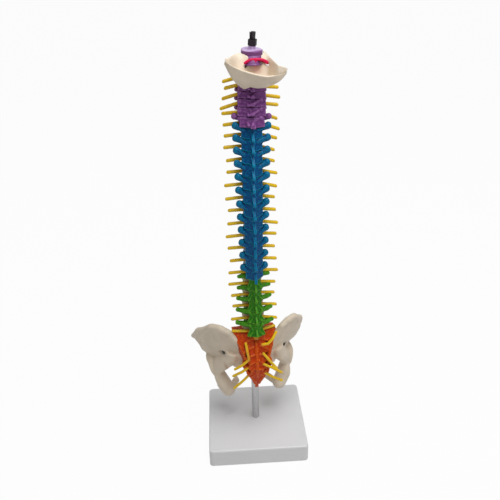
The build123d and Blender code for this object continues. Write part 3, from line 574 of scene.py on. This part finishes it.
def thread_tree():
    """A helical ridge round an upright core."""
    shape = Shape("Thread", Radius="Float", Length="Float", Turns="Float", Ridge="Float",
                  Material="Material")
    given = shape.given
    spiral = shape.node(
        "GeometryNodeCurveSpiral",
        {"Resolution": 20, "Rotations": given["Turns"], "Start Radius": given["Radius"],
         "End Radius": given["Radius"], "Height": given["Length"]},
    )
    profile = shape.node(
        "GeometryNodeCurvePrimitiveCircle", {"Resolution": 6, "Radius": given["Ridge"]},
    )
    return shape.close(shape.node(
        "GeometryNodeCurveToMesh", {"Curve": spiral, "Profile Curve": profile, "Fill Caps": True},
    ))


TREES = {"Casting": casting_tree, "Limbs": limbs_tree, "Openness": openness_tree, "Thread": thread_tree}


def put_tree(piece, name, **values):
    """Puts a geometry tree on a piece, made the first time it is asked for, and sets its inputs."""
    tree = bpy.data.node_groups.get(name) or TREES[name]()
    modifier = piece.modifiers.new(name, "NODES")
    modifier.node_group = tree
    sockets = {item.name: item.identifier for item in tree.interface.items_tree if item.in_out == "INPUT"}
    for label, value in values.items():
        modifier[sockets[label]] = value


class Balls:
    """Balls of all sizes that melt into limbs."""

    def __init__(self):
        self.balls = []

    def ball(self, place, radius):
        """One ball."""
        self.balls.append((Vector(place), radius))

    def limb(self, start, end, start_radius, end_radius):
        """A row of balls that melt into a tapered limb."""
        length = (end - start).length
        steps = max(1, math.ceil(length / (0.3 * min(start_radius, end_radius))))
        for step in range(steps + 1):
            share = step / steps
            self.ball(start.lerp(end, share), start_radius + (end_radius - start_radius) * share)

    def chain(self, points):
        """Limbs from point to point, each point with its radius."""
        for (start, start_radius), (end, end_radius) in zip(points, points[1:]):
            self.limb(start, end, start_radius, end_radius)

    def pieces(self, name):
        """The balls' places as an object, with their sizes on its points."""
        mesh = bpy.data.meshes.new(f"{name}_balls")
        mesh.from_pydata([place for place, radius in self.balls], [], [])
        sizes = mesh.attributes.new(BALL, "FLOAT", "POINT")
        sizes.data.foreach_set("value", [radius for place, radius in self.balls])
        return placed(mesh.name, mesh)


class Flesh(Balls):
    """Balls that thicken a bone, and what can be read off the bone's own surface."""

    def __init__(self, node):
        super().__init__()
        self.low, self.high = (Vector(corner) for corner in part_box(node))
        mesh = NODES[node].data
        self.places = [vertex.co.copy() for vertex in mesh.vertices]
        self.skin = BVHTree.FromPolygons(self.places, [tuple(face.vertices) for face in mesh.polygons])
        self.middle = min(self.places, key=lambda place: place.y).x

    def height(self, share):
        """A height, as a share of the bone's own height."""
        return self.low.z + (self.high.z - self.low.z) * share

    def back(self, aside, height, sunk=0.0):
        """The point on the bone's back at this distance from its middle, sunk into it."""
        start = Vector((self.middle + aside, self.low.y - 10 * MM, height))
        hit = self.skin.ray_cast(start, Vector((0, 1, 0)))[0]
        if hit is None:
            raise RuntimeError("no bone behind the point")
        return hit + Vector((0, sunk, 0))

    def tip(self, side, radius):
        """The middle of the swollen end of a transverse process."""
        tip = max(self.places, key=lambda place: side * place.x)
        return tip - Vector((side * radius, 0, 0))


def remove_piece(piece):
    """Takes a helper object and its mesh away again."""
    mesh = piece.data
    bpy.data.objects.remove(piece)
    bpy.data.meshes.remove(mesh)


def cast(node, name, material, flesh=None, shaping=None, grid=1.0, fine=False, rough=1.0, wide=1.0,
         rounds=None, swelling=0.0):
    """A bone as a casting: thickened, rebuilt on an even grid, rounded, shaped and dented."""
    bones = bpy.context.scene.spine_bones
    piece = merged_copy(node, name) if node else empty_piece(name)
    if flesh:
        points = flesh.pieces(name)
        put_tree(piece, "Limbs", Points=points, Material=material)
    remesh = piece.modifiers.new("Grid", "REMESH")
    remesh.mode = "VOXEL"
    remesh.voxel_size = (bones.fine_cell if fine else bones.cell) * grid
    smooth = piece.modifiers.new("Rounding", "SMOOTH")
    smooth.factor = 0.5
    smooth.iterations = rounds or bones.smoothing
    if shaping:
        settled(piece)
        for vertex in piece.data.vertices:
            vertex.co = shaping(vertex.co)
    put_tree(
        piece, "Casting", Depth=bones.unevenness * rough, Width=bones.dent_size * wide, Swelling=swelling,
        Seed=bones.seed + float(sum(map(ord, name)) % SEEDS), Material=material,
    )
    settled(piece)
    if flesh:
        remove_piece(points)
    CASTINGS.append((piece, node, material))


def neck_flesh(node):
    """Side masses, slanting ridges and the forked spinous process of a neck vertebra."""
    flesh = Flesh(node)
    for side in (-1, 1):
        outer = flesh.back(side * 9.6 * MM, flesh.height(0.62), 1.4 * MM)
        inner = flesh.back(side * 2.6 * MM, flesh.height(0.42), 0.7 * MM)
        flesh.ball(outer, 2.5 * MM)
        flesh.limb(outer, inner, 1.5 * MM, 1.2 * MM)
        fork = Vector((flesh.middle + side * 1.9 * MM, flesh.low.y + 1.2 * MM, flesh.height(0.3)))
        flesh.limb(inner, fork, 1.2 * MM, 1.4 * MM)
        tip = flesh.tip(side, 2.2 * MM)
        flesh.limb(tip, tip + Vector((-side * 4 * MM, 0, -0.6 * MM)), 2.2 * MM, 2.0 * MM)
    return flesh


def chest_flesh(node):
    """Thick transverse processes that run down into the lamina."""
    flesh = Flesh(node)
    for side in (-1, 1):
        tip = flesh.tip(side, 3.1 * MM) - Vector((0, 0, 0.8 * MM))
        root = flesh.back(side * 5.0 * MM, flesh.height(0.52), 2.6 * MM)
        flesh.chain([(tip, 3.4 * MM), (tip.lerp(root, 0.5), 2.7 * MM), (root, 2.8 * MM)])
    return flesh


def waist_flesh(node):
    """Leaf-shaped transverse processes and the paired joint knobs of a waist vertebra."""
    flesh = Flesh(node)
    for side in (-1, 1):
        tip = flesh.tip(side, 2.0 * MM)
        knob = flesh.back(side * 6.6 * MM, flesh.height(0.80), 1.2 * MM)
        foot = flesh.back(side * 6.4 * MM, flesh.height(0.16), 0.9 * MM)
        waist = flesh.back(side * 3.8 * MM, flesh.height(0.45), 1.0 * MM)
        middle = tip.lerp(knob, 0.45)
        flesh.chain([(tip, 1.9 * MM), (middle, 2.7 * MM), (knob, 2.5 * MM), (waist, 1.3 * MM),
                     (foot, 2.0 * MM)])
    return flesh


def pelvis_place(aside, forward, height):
    """A place given from the top of the sacrum, which is turned a little about the upright."""
    turn = math.radians(PELVIS_TURN)
    return Vector((
        aside * math.cos(turn) - forward * math.sin(turn),
        aside * math.sin(turn) + forward * math.cos(turn) + PELVIS_FORWARD,
        height + PELVIS_TOP,
    )) * MM


class Wing:
    """The bent surface that an iliac wing lies on: along it, up it and out of it, in millimetres."""

    def __init__(self, side):
        turn, flare = math.radians(WING_TURN), math.radians(WING_FLARE)
        zero = pelvis_place(0, 0, 0)
        aside, forward, height = WING_START
        self.start = pelvis_place(side * aside, forward, height) / MM
        self.along = (pelvis_place(side * math.cos(turn), math.sin(turn), 0) - zero) / MM
        self.out = (pelvis_place(side * math.sin(turn) * math.cos(flare),
                                 -math.cos(turn) * math.cos(flare), -math.sin(flare)) - zero) / MM
        self.up = self.out.cross(self.along) * side

    def bow(self, along):
        """How far the bent wing stands inside its plane."""
        return math.sqrt(WING_BEND**2 - (along - WING_MIDDLE) ** 2) - WING_BEND

    def place(self, along, height):
        """A place on the middle of the wing."""
        flat = self.start + self.along * along + self.up * height
        return (flat + self.out * self.bow(along)) * MM

    def reading(self, place):
        """How far along and up the wing a place lies."""
        offset = place / MM - self.start
        return offset.dot(self.along), offset.dot(self.up)


# How far along and up the wing, and the radius there
HIP_CREST = (
    ((1, -10), 2.6), ((0.5, 4), 3.0), ((4, 20), 3.3), ((10, 32), 3.6), ((18, 37), 3.8),
    ((30, 36.5), 3.8), ((42, 30), 3.6), ((50, 21), 3.8), ((53, 12), 3.6), ((50, 2), 2.8),
)
HIP_HOLLOW = (24, 5)
HIP_FILL = 2.4 * MM


def hip_flesh(node, side):
    """The high round back of the iliac crest, with the wing filled in under it."""
    flesh = Flesh(node)
    wing = Wing(side)
    backwards = Vector((0, -3.5 * MM, 0))
    lower_edge = -32
    for along in (0, 3, 6, 9, 12):
        for height in (-2, -6, -10, -14, -18, -22):
            if along + 2 * height > lower_edge:
                flesh.ball(wing.place(along - 1.5, height) + backwards, 2.7 * MM)
    flesh.chain([(wing.place(*spot), radius * MM) for spot, radius in HIP_CREST])
    spots = [spot for spot, radius in HIP_CREST]
    for spot in spots[2:6]:
        for share in (0.5, 0.6, 0.7, 0.8, 0.9):
            flesh.ball(wing.place(*mixed(HIP_HOLLOW, spot, share)), HIP_FILL)
    for first, second in zip(spots[1:6], spots[2:7]):
        for share in (0.45, 0.55, 0.65, 0.75, 0.85, 0.95):
            for step in (0.2, 0.4, 0.6, 0.8):
                spot = mixed(first, second, step)
                flesh.ball(wing.place(*mixed(HIP_HOLLOW, spot, share)), HIP_FILL)
    return flesh


def hip_shaping(side):
    """Draws the front end of the iliac crest down, and the socket's outer side in."""
    wing = Wing(side)
    edge, top, pull = (36, 106, 0.2) if side < 0 else (31, 116, 0.32)
    bottom, fade = 70, 10
    start, run, end, drop = 26, 28, 90, 12.5
    floor, rise = -20, 36
    tip, stretch = 40, 0.2

    def shaping(place):
        out = side * place.x - edge * MM
        level = unit(min(top * MM - place.z, place.z - bottom * MM) / (fade * MM))
        if out > 0 and level > 0:
            place = place - Vector((side * pull * level * out, 0, 0))
        along, height = wing.reading(place)
        if along < start or height < floor or along > end:
            return place
        weight = eased(unit((along - start) / run)) * unit((height - floor) / rise)
        on = max(0.0, along - tip) * stretch
        return place + (wing.along * on - wing.up * drop) * weight * MM

    return shaping


# Height from the top of the sacrum, and radius
SACRUM_RIDGE = (
    (-3, 2.4), (-8, 2.7), (-13, 2.0), (-19, 2.8), (-25, 2.0), (-31, 2.7), (-38, 1.9), (-44, 2.4), (-50, 1.6),
)
SACRUM_EDGE = (
    ((13.5, -17, -33), 3.2), ((13.0, -18.5, -37), 3.6), ((11, -19, -42), 2.7), ((9.5, -19, -46), 3.3),
    ((6.5, -18.5, -52), 2.6), ((3.5, -17, -58), 2.7), ((2, -15, -64), 2.2),
)
# Height, drop, reach and radius
SACRUM_BARS = (
    (-6, 4, 12, 1.7), (-14, 5, 14, 1.5), (-22, 5, 13, 1.7), (-30, 5, 11, 1.4), (-38, 5, 9, 1.5),
    (-46, 4, 6, 1.3),
)
# Height, and distance from the middle
SACRUM_HOLES = ((-12, 11.5), (-23, 11), (-33, 10), (-42, 8.6))


def sacrum_flesh(node):
    """The ridge down the middle of the sacrum, its broad lower edges and the bars between its holes."""
    flesh = Flesh(node)
    flesh.middle = pelvis_place(0, 0, 0).x + 2.0 * MM
    flesh.chain([(flesh.back(0, (PELVIS_TOP + height) * MM, 0.6 * MM), radius * MM)
                 for height, radius in SACRUM_RIDGE])
    for side in (-1, 1):
        flesh.chain([(pelvis_place(side * aside, forward, height), radius * MM)
                     for (aside, forward, height), radius in SACRUM_EDGE])
        for height, drop, reach, radius in SACRUM_BARS:
            row = []
            for share in (0.25, 0.5, 0.75, 1.0):
                level = (PELVIS_TOP + height - drop * share * share) * MM
                row.append((flesh.back(side * reach * share * MM, level, 0.4 * MM), radius * MM))
            flesh.chain(row)
    return flesh


def sacrum_shaping(flesh):
    """Presses the four pairs of holes into the back of the sacrum."""
    holes = [Vector((flesh.middle + side * aside * MM, 0, (PELVIS_TOP + height) * MM))
             for side in (-1, 1) for height, aside in SACRUM_HOLES]
    width, depth, front = 2.4 * MM, 3.2 * MM, -8 * MM

    def shaping(place):
        for hole in holes:
            off = math.hypot(place.x - hole.x, place.z - hole.z) / width
            if off < 1.6 and place.y < front:
                place = place + Vector((0, depth * math.exp(-2 * off * off), 0))
        return place

    return shaping


def stem_shaping(flesh):
    """Widens the drum of the brain stem below its shoulder."""
    middle = (flesh.low + flesh.high) / 2
    shoulder, foot, step = 7.6 * MM, 0.6 * MM, 0.4 * MM
    widths = []
    for place in range(int(shoulder / step) + 2):
        start = Vector((middle.x - 30 * MM, middle.y, flesh.low.z + foot + place * step))
        hit = flesh.skin.ray_cast(start, Vector((1, 0, 0)))[0]
        widths.append(middle.x - hit.x if hit else 0.0)
    full = max(widths)

    def shaping(place):
        height = place.z - flesh.low.z
        if height >= shoulder or height < foot:
            return place
        width = widths[round((height - foot) / step)]
        if width <= 3 * MM:
            return place
        factor = max(1.0, full * (0.9 + 0.1 * height / shoulder) / width)
        aside, forward = place.x - middle.x, place.y - middle.y
        return Vector((middle.x + aside * factor, middle.y + forward * factor, place.z))

    return shaping


def plate_shaping(flesh):
    """Draws the skull plate's far rim in towards its right tip, and a little towards its left one."""
    middle = (flesh.low.x + flesh.high.x) / 2
    half = (flesh.high.x - flesh.low.x) / 2
    right, left = (0.35, 0.72, 0.85), (0.55, 0.9, 0.5)
    bins = 24
    near = [flesh.high.y] * bins
    for place in flesh.places:
        spot = min(bins - 1, int((place.x - flesh.low.x) / (2 * half) * bins))
        near[spot] = min(near[spot], place.y)

    def near_line(share):
        spot = (share + 1) / 2 * bins - 0.5
        low = max(0, min(bins - 2, math.floor(spot)))
        part = unit(spot - low)
        return near[low] * (1 - part) + near[low + 1] * part

    def shaping(place):
        share = max(-1.0, min(1.0, (place.x - middle) / half))
        start, end, pull = right if share > 0 else left
        ramp = eased(unit((abs(share) - start) / (end - start)))
        line = near_line(share)
        near = math.exp(-((place.y - line) / (9 * MM)) ** 2)
        sag = 2.2 * MM * near * math.cos(share * math.pi / 2)
        if share > 0.3:
            up = (place.z - flesh.low.z) / (flesh.high.z - flesh.low.z)
            sag += 7 * MM * (1 - near) * up * min(1.0, (share - 0.3) / 0.4)
            sag -= 6 * MM * (1 - up) * (share - 0.3) / 0.7
        if share < -0.2:
            sag += 5.5 * MM * (1 - near) * min(1.0, (-0.2 - share) / 0.2)
        return Vector((place.x, line + (place.y - line) * (1 - pull * ramp), place.z - sag))

    return shaping


def artery_flesh(node):
    """The short branch that hangs from the middle of the artery."""
    flesh = Flesh(node)
    middle = (flesh.low.x + flesh.high.x) / 2
    start = Vector((middle - 0.8 * MM, flesh.low.y + 1.6 * MM, flesh.high.z - 1.6 * MM))
    flesh.limb(start, start + Vector((-0.5 * MM, -1.4 * MM, -4.2 * MM)), 1.5 * MM, 0.9 * MM)
    return flesh


def nerve_flesh(node):
    """Round ends on the nerves."""
    flesh = Flesh(node)
    for side in (-1, 1):
        far = sorted((place for place in flesh.places if side * place.x > 14 * MM), key=lambda place: place.z)
        groups = []
        for place in far:
            if groups and place.z - groups[-1][-1].z < 0.9 * MM:
                groups[-1].append(place)
            else:
                groups.append([place])
        for group in groups:
            reach = max(side * place.x for place in group)
            rim = [place for place in group if side * place.x > reach - 1.6 * MM]
            end = sum(rim, Vector()) / len(rim)
            flesh.ball(end - Vector((side * 0.3 * MM, 0, 0)), 1.5 * MM)
    return flesh


SACRAL_NERVES = (
    ((8.2, -18.5, 133.3), (14.3, -19.5, 134.8), (19.3, -18.0, 139.4), (23.6, -13.0, 144.8)),
    ((-9.4, -17.5, 134.9), (-8.1, -21.5, 127.2), (-6.8, -22.5, 117.0), (-14.5, -22.0, 109.8),
     (-22.2, -19.5, 103.5)),
    ((-5.4, -20.5, 107.3), (-14.8, -21.5, 100.8), (-24.3, -18.0, 93.5)),
    ((-6.8, -18.5, 94.6), (-14.1, -20.0, 87.5), (-23.8, -18.0, 77.0)),
    ((9.2, -19.0, 122.0), (15.6, -21.0, 113.7), (23.3, -18.0, 101.3)),
    ((8.9, -20.5, 109.3), (17.1, -21.5, 105.3), (28.8, -18.0, 94.9)),
    ((9.4, -18.0, 96.5), (19.2, -19.5, 90.3), (28.9, -17.0, 83.6)),
)


def sacral_nerves():
    """The nerves that leave the back of the sacrum and bend outwards."""
    nerves = Balls()
    for line in SACRAL_NERVES:
        nerves.chain([(Vector(spot) * MM, 1.5 * MM) for spot in line])
    return nerves


def nerve_shaping(place):
    """Lets the nerves droop towards their ends, and draws the lowest ones into the sacrum."""
    sacral, waist, neck = 145 * MM, 150 * MM, 385 * MM
    if place.z < sacral:
        aside = max(0.0, abs(place.x) - 4 * MM)
        return Vector((place.x - math.copysign(0.9 * aside, place.x), max(place.y, -11 * MM), place.z))
    if place.z < waist:
        return place
    reach = max(0.0, abs(place.x) - 9 * MM)
    slope = 0.3 if place.x > 0 else 0.12
    if place.z > neck:
        slope = 0.32 if place.x < 0 else 0.1
    return Vector((place.x, place.y, place.z - slope * reach))


def narrowed(flesh, half_width, amount, level):
    """Pulls the sides of the lamina in at one level, as between two joints."""
    front = flesh.high.y - 0.5 * (flesh.high.y - flesh.low.y)
    height = flesh.high.z - flesh.low.z
    end, fade, spread = half_width + 4 * MM, 3 * MM, 0.26

    def shaping(place):
        aside = place.x - flesh.middle
        if place.y > front:
            return place
        near = unit((end - abs(aside)) / fade)
        off = ((place.z - flesh.low.z) / height - level) / spread
        pull = amount * near * math.exp(-off * off)
        return Vector((flesh.middle + aside * (1 - pull), place.y, place.z))

    return shaping


FLESH = {"neck": neck_flesh, "chest": chest_flesh, "waist": waist_flesh}


def give(node, material):
    """Puts a material on a CAD node that stays as it is."""
    slots = NODES[node].material_slots
    for slot in slots:
        slot.material = material
    if not slots:
        NODES[node].data.materials.append(material)


class SPINE_OT_vertebrae(bpy.types.Operator):
    """Make the coloured vertebrae"""

    bl_idname = "spine.vertebrae"
    bl_label = "Vertebrae"

    def execute(self, context):
        paints = context.scene.spine_paints
        materials = {
            "neck": painted("neck_paint", paints.neck, 0.25, (0.40, 0.16, 0.44)),
            "chest": painted("chest_paint", paints.chest, 0.2, (0.004, 0.30, 0.50)),
            "waist": painted("waist_paint", paints.waist, 0.22, (0.14, 0.46, 0.03)),
        }
        for node in sorted(NODES):
            region = REGIONS.get(node[0])
            if region is None or not node[1:].isdigit():
                continue
            flesh = None if node in ("C1", "C2") else FLESH[region](node)
            shaping = narrowed(flesh, 9 * MM, 0.26, 0.52) if region == "waist" else None
            cast(node, f"vertebra_{node}", materials[region], flesh, shaping)
        return {"FINISHED"}


class SPINE_OT_pelvis(bpy.types.Operator):
    """Make the sacrum and the hip bones"""

    bl_idname = "spine.pelvis"
    bl_label = "Pelvis"

    def execute(self, context):
        bones = context.scene.spine_bones
        paints = context.scene.spine_paints
        red = painted("sacrum_paint", paints.sacrum, 0.45, (0.80, 0.17, 0.015))
        streak = ((-0.0342, 0.1082), (-0.0273, 0.084), 2.6 * MM)
        whites = {
            "left": bone_white("bone_stained", paints.bone, streak),
            "right": bone_white("bone", paints.bone),
        }
        flesh = sacrum_flesh("sacrum_and_coccyx")
        cast("sacrum_and_coccyx", "sacrum", red, flesh, sacrum_shaping(flesh), rough=3.2, wide=0.9)
        for name, side in (("left", -1), ("right", 1)):
            node = f"hip_bone_{name}"
            cast(node, f"hip_{name}", whites[name], hip_flesh(node, side), hip_shaping(side), grid=1.28,
                 rough=1.6, wide=2, rounds=bones.smoothing * 3)
        return {"FINISHED"}


class SPINE_OT_head_end(bpy.types.Operator):
    """Make the back of the skull, the brain stem and the artery"""

    bl_idname = "spine.head_end"
    bl_label = "Head end"

    def execute(self, context):
        bones = context.scene.spine_bones
        paints = context.scene.spine_paints
        low, high = (Vector(corner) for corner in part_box("vertebral_artery"))
        under = (low + high) / 2 + Vector((0, -2 * MM, -5 * MM))
        shell = bone_white("skull_cast", shade(paints.bone, 1.14), None, under)
        rim = 3.4 * MM
        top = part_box("core_nut")[0][2] - rim
        stem = stem_paint("stem_paint", paints.stem, paints.lit_stem_top, top)
        red = painted("artery_paint", paints.artery, 0.6, (0.85, 0.03, 0.12), 0.24)
        cast("occipital_plate", "skull_back", shell, None, plate_shaping(Flesh("occipital_plate")),
             grid=1.15, fine=True, wide=2, rounds=bones.smoothing * 2)
        cast("brain_stem", "stem", stem, None, stem_shaping(Flesh("brain_stem")), fine=True, rough=0.3,
             rounds=2)
        cast("vertebral_artery", "artery", red, artery_flesh("vertebral_artery"), grid=0.7, fine=True,
             rough=0.7, wide=0.6, rounds=2)
        return {"FINISHED"}


class SPINE_OT_nerves(bpy.types.Operator):
    """Make the spinal cord and its nerves"""

    bl_idname = "spine.nerves"
    bl_label = "Nerves"

    def execute(self, context):
        paints = context.scene.spine_paints
        yellow = nerve_yellow("nerve_paint", paints.nerve, paints.nerve_root)
        cast("spinal_cord_and_nerves", "cord_and_nerves", yellow, nerve_flesh("spinal_cord_and_nerves"),
             nerve_shaping, grid=1.22, fine=True, rough=0.7, rounds=2, swelling=0.28 * MM)
        cast(None, "sacral_nerves", yellow, sacral_nerves(), fine=True, rough=0.7, rounds=2)
        return {"FINISHED"}


class SPINE_OT_castings(bpy.types.Operator):
    """Find how open every casting lies, and hand the castings over"""

    bl_idname = "spine.castings"
    bl_label = "Castings"

    def execute(self, context):
        shell = bmesh.new()
        for casting in CASTINGS:
            shell.from_mesh(casting[0].data)
        around = empty_piece("surroundings")
        shell.to_mesh(around.data)
        shell.free()
        for piece, node, material in CASTINGS:
            put_tree(piece, "Openness", Surroundings=around, Reach=context.scene.spine_bones.reach,
                     Material=material)
            settled(piece)
            piece.data.polygons.foreach_set("use_smooth", [True] * len(piece.data.polygons))
            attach(piece, BODY)
            if node:
                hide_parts(node)
        remove_piece(around)
        CASTINGS.clear()
        return {"FINISHED"}


class SPINE_OT_fittings(bpy.types.Operator):
    """Finish the discs, the core, the rod, the fasteners and the base"""

    bl_idname = "spine.fittings"
    bl_label = "Fittings"

    def execute(self, context):
        paints = context.scene.spine_paints
        thread = context.scene.spine_thread
        disc = painted("disc_cast", paints.disc, 0.9, shade(paints.disc, 1.2))
        dull = metal("dull_steel", paints.dull_steel, 0.42, (1, 1, 1))
        for node in NODES:
            if node.startswith("disc_"):
                give(node, disc)
        give("support_rod", metal("rod_steel", paints.steel, 0.2, (1, 1, 0.02)))
        dark = metal("dark_nut", (0.05, 0.04, 0.05), 0.35, (1, 1, 1))
        give("core_nut", dark)
        give("base_nut", dull)
        give("hip_screws", dull)
        give("flexible_core", plain_core("core_dark", paints.core))
        give("base", base_plastic("base_plastic", paints.base))
        self.add_thread(thread, dark)
        return {"FINISHED"}

    def add_thread(self, thread, material):
        """The thread that shows on the core above its nut."""
        nut_low, nut_high = (Vector(corner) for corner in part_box("core_nut"))
        core_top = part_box("flexible_core")[1][2]
        middle = (nut_low + nut_high) / 2
        bare_end, radius = 0.6 * MM, 2.2 * MM
        length = core_top - nut_high.z - bare_end
        piece = empty_piece("core_thread")
        put_tree(piece, "Thread", Radius=radius, Length=length, Turns=length / thread.pitch,
                 Ridge=thread.depth, Material=material)
        settled(piece)
        piece.data.transform(Matrix.Translation((middle.x, middle.y, nut_high.z)))
        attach(piece, BODY)


class SPINE_OT_stage(bpy.types.Operator):
    """Set up floor, lamps and camera"""

    bl_idname = "spine.stage"
    bl_label = "Stage"

    def execute(self, context):
        stage = context.scene.spine_stage
        self.add_floor(stage)
        self.add_world(stage)
        for name, place, size, power in LAMPS:
            self.add_lamp(name, place, size, getattr(stage, power))
        self.add_camera(context)
        context.scene.view_settings.view_transform = "Standard"
        return {"FINISHED"}

    def add_floor(self, stage):
        """A wide pale floor that the camera sees nearly white, with its shadows."""
        floor = empty_piece("floor")
        mesh = floor.data
        corners = [(aside * FLOOR_REACH, forward * FLOOR_REACH, 0)
                   for aside, forward in ((-1, -1), (1, -1), (1, 1), (-1, 1))]
        mesh.from_pydata(corners, [], [(0, 1, 2, 3)])
        paint = Paint("floor_paper")
        diffuse = paint.node("ShaderNodeBsdfDiffuse", {"Color": solid(stage.floor)})
        glow = paint.node("ShaderNodeEmission", {"Color": solid((1, 1, 1)), "Strength": 1.0})
        seen = paint.node("ShaderNodeLightPath", {}, "Is Camera Ray")
        mirrored = paint.node("ShaderNodeLightPath", {}, "Is Glossy Ray")
        share = stage.whiteness * seen + 0.5 * mirrored
        both = paint.node("ShaderNodeMixShader", {0: share, 1: diffuse, 2: glow})
        mesh.materials.append(paint.close(both))

    def add_world(self, stage):
        """Even pale surroundings that the camera sees as white."""
        world = bpy.data.worlds.new("studio")
        world.use_nodes = True
        tree = world.node_tree
        background = tree.nodes["Background"]
        background.inputs["Color"].default_value = (1, 1, 1, 1)
        seen = Nodes(tree).node("ShaderNodeLightPath", {}, "Is Camera Ray")
        strength = (WORLD_WHITE - stage.ambient) * seen + stage.ambient
        tree.links.new(strength.socket, background.inputs["Strength"])
        bpy.context.scene.world = world

    def add_lamp(self, name, place, size, power):
        """A square lamp that looks at the middle of the model."""
        lamp = bpy.data.lights.new(name, "AREA")
        lamp.size = size
        lamp.energy = power
        aim = Vector(LAMP_AIM) - Vector(place)
        turn = aim.to_track_quat("-Z", "Y").to_matrix().to_4x4()
        placed(name, lamp).matrix_world = Matrix.Translation(place) @ turn

    def add_camera(self, context):
        """The camera where the photograph was taken from."""
        camera = bpy.data.cameras.new("camera")
        camera.sensor_width = SENSOR_WIDTH
        camera.lens = CAMERA_LENS
        turn = (
            Matrix.Rotation(math.radians(CAMERA_HEADING), 4, "Z")
            @ Matrix.Rotation(math.radians(90 - CAMERA_DROP), 4, "X")
            @ Matrix.Rotation(math.radians(CAMERA_ROLL), 4, "Z")
        )
        holder = placed("camera", camera)
        holder.matrix_world = Matrix.Translation(Vector(CAMERA_PLACE) * MM) @ turn
        context.scene.camera = holder


OPERATORS = (
    SPINE_OT_vertebrae,
    SPINE_OT_pelvis,
    SPINE_OT_head_end,
    SPINE_OT_nerves,
    SPINE_OT_castings,
    SPINE_OT_fittings,
    SPINE_OT_stage,
)


class SPINE_PT_panel(bpy.types.Panel):
    """The steps that finish the spine model"""

    bl_label = "Spine model"
    bl_idname = "SPINE_PT_panel"
    bl_space_type = "VIEW_3D"
    bl_region_type = "UI"
    bl_category = "Spine"

    def draw(self, context):
        for operator in OPERATORS:
            self.layout.operator(operator.bl_idname)
        for key in GROUPS:
            group = getattr(context.scene, key)
            box = self.layout.box()
            for name in group.__annotations__:
                box.prop(group, name)


GROUPS = {
    "spine_bones": BoneSettings,
    "spine_paints": PaintSettings,
    "spine_thread": ThreadSettings,
    "spine_stage": StageSettings,
}


def register():
    """Register the settings, the steps and the panel."""
    for name, group in GROUPS.items():
        bpy.utils.register_class(group)
        setattr(bpy.types.Scene, name, PointerProperty(type=group))
    for operator in OPERATORS:
        bpy.utils.register_class(operator)
    bpy.utils.register_class(SPINE_PT_panel)


def unregister():
    """Take back what register did."""
    bpy.utils.unregister_class(SPINE_PT_panel)
    for operator in reversed(OPERATORS):
        bpy.utils.unregister_class(operator)
    for name, group in GROUPS.items():
        delattr(bpy.types.Scene, name)
        bpy.utils.unregister_class(group)


def main():
    """Run every step in order."""
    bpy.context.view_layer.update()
    register()
    bpy.ops.spine.vertebrae()
    bpy.ops.spine.pelvis()
    bpy.ops.spine.head_end()
    bpy.ops.spine.nerves()
    bpy.ops.spine.castings()
    bpy.ops.spine.fittings()
    bpy.ops.spine.stage()


if __name__ == "__main__":
    main()
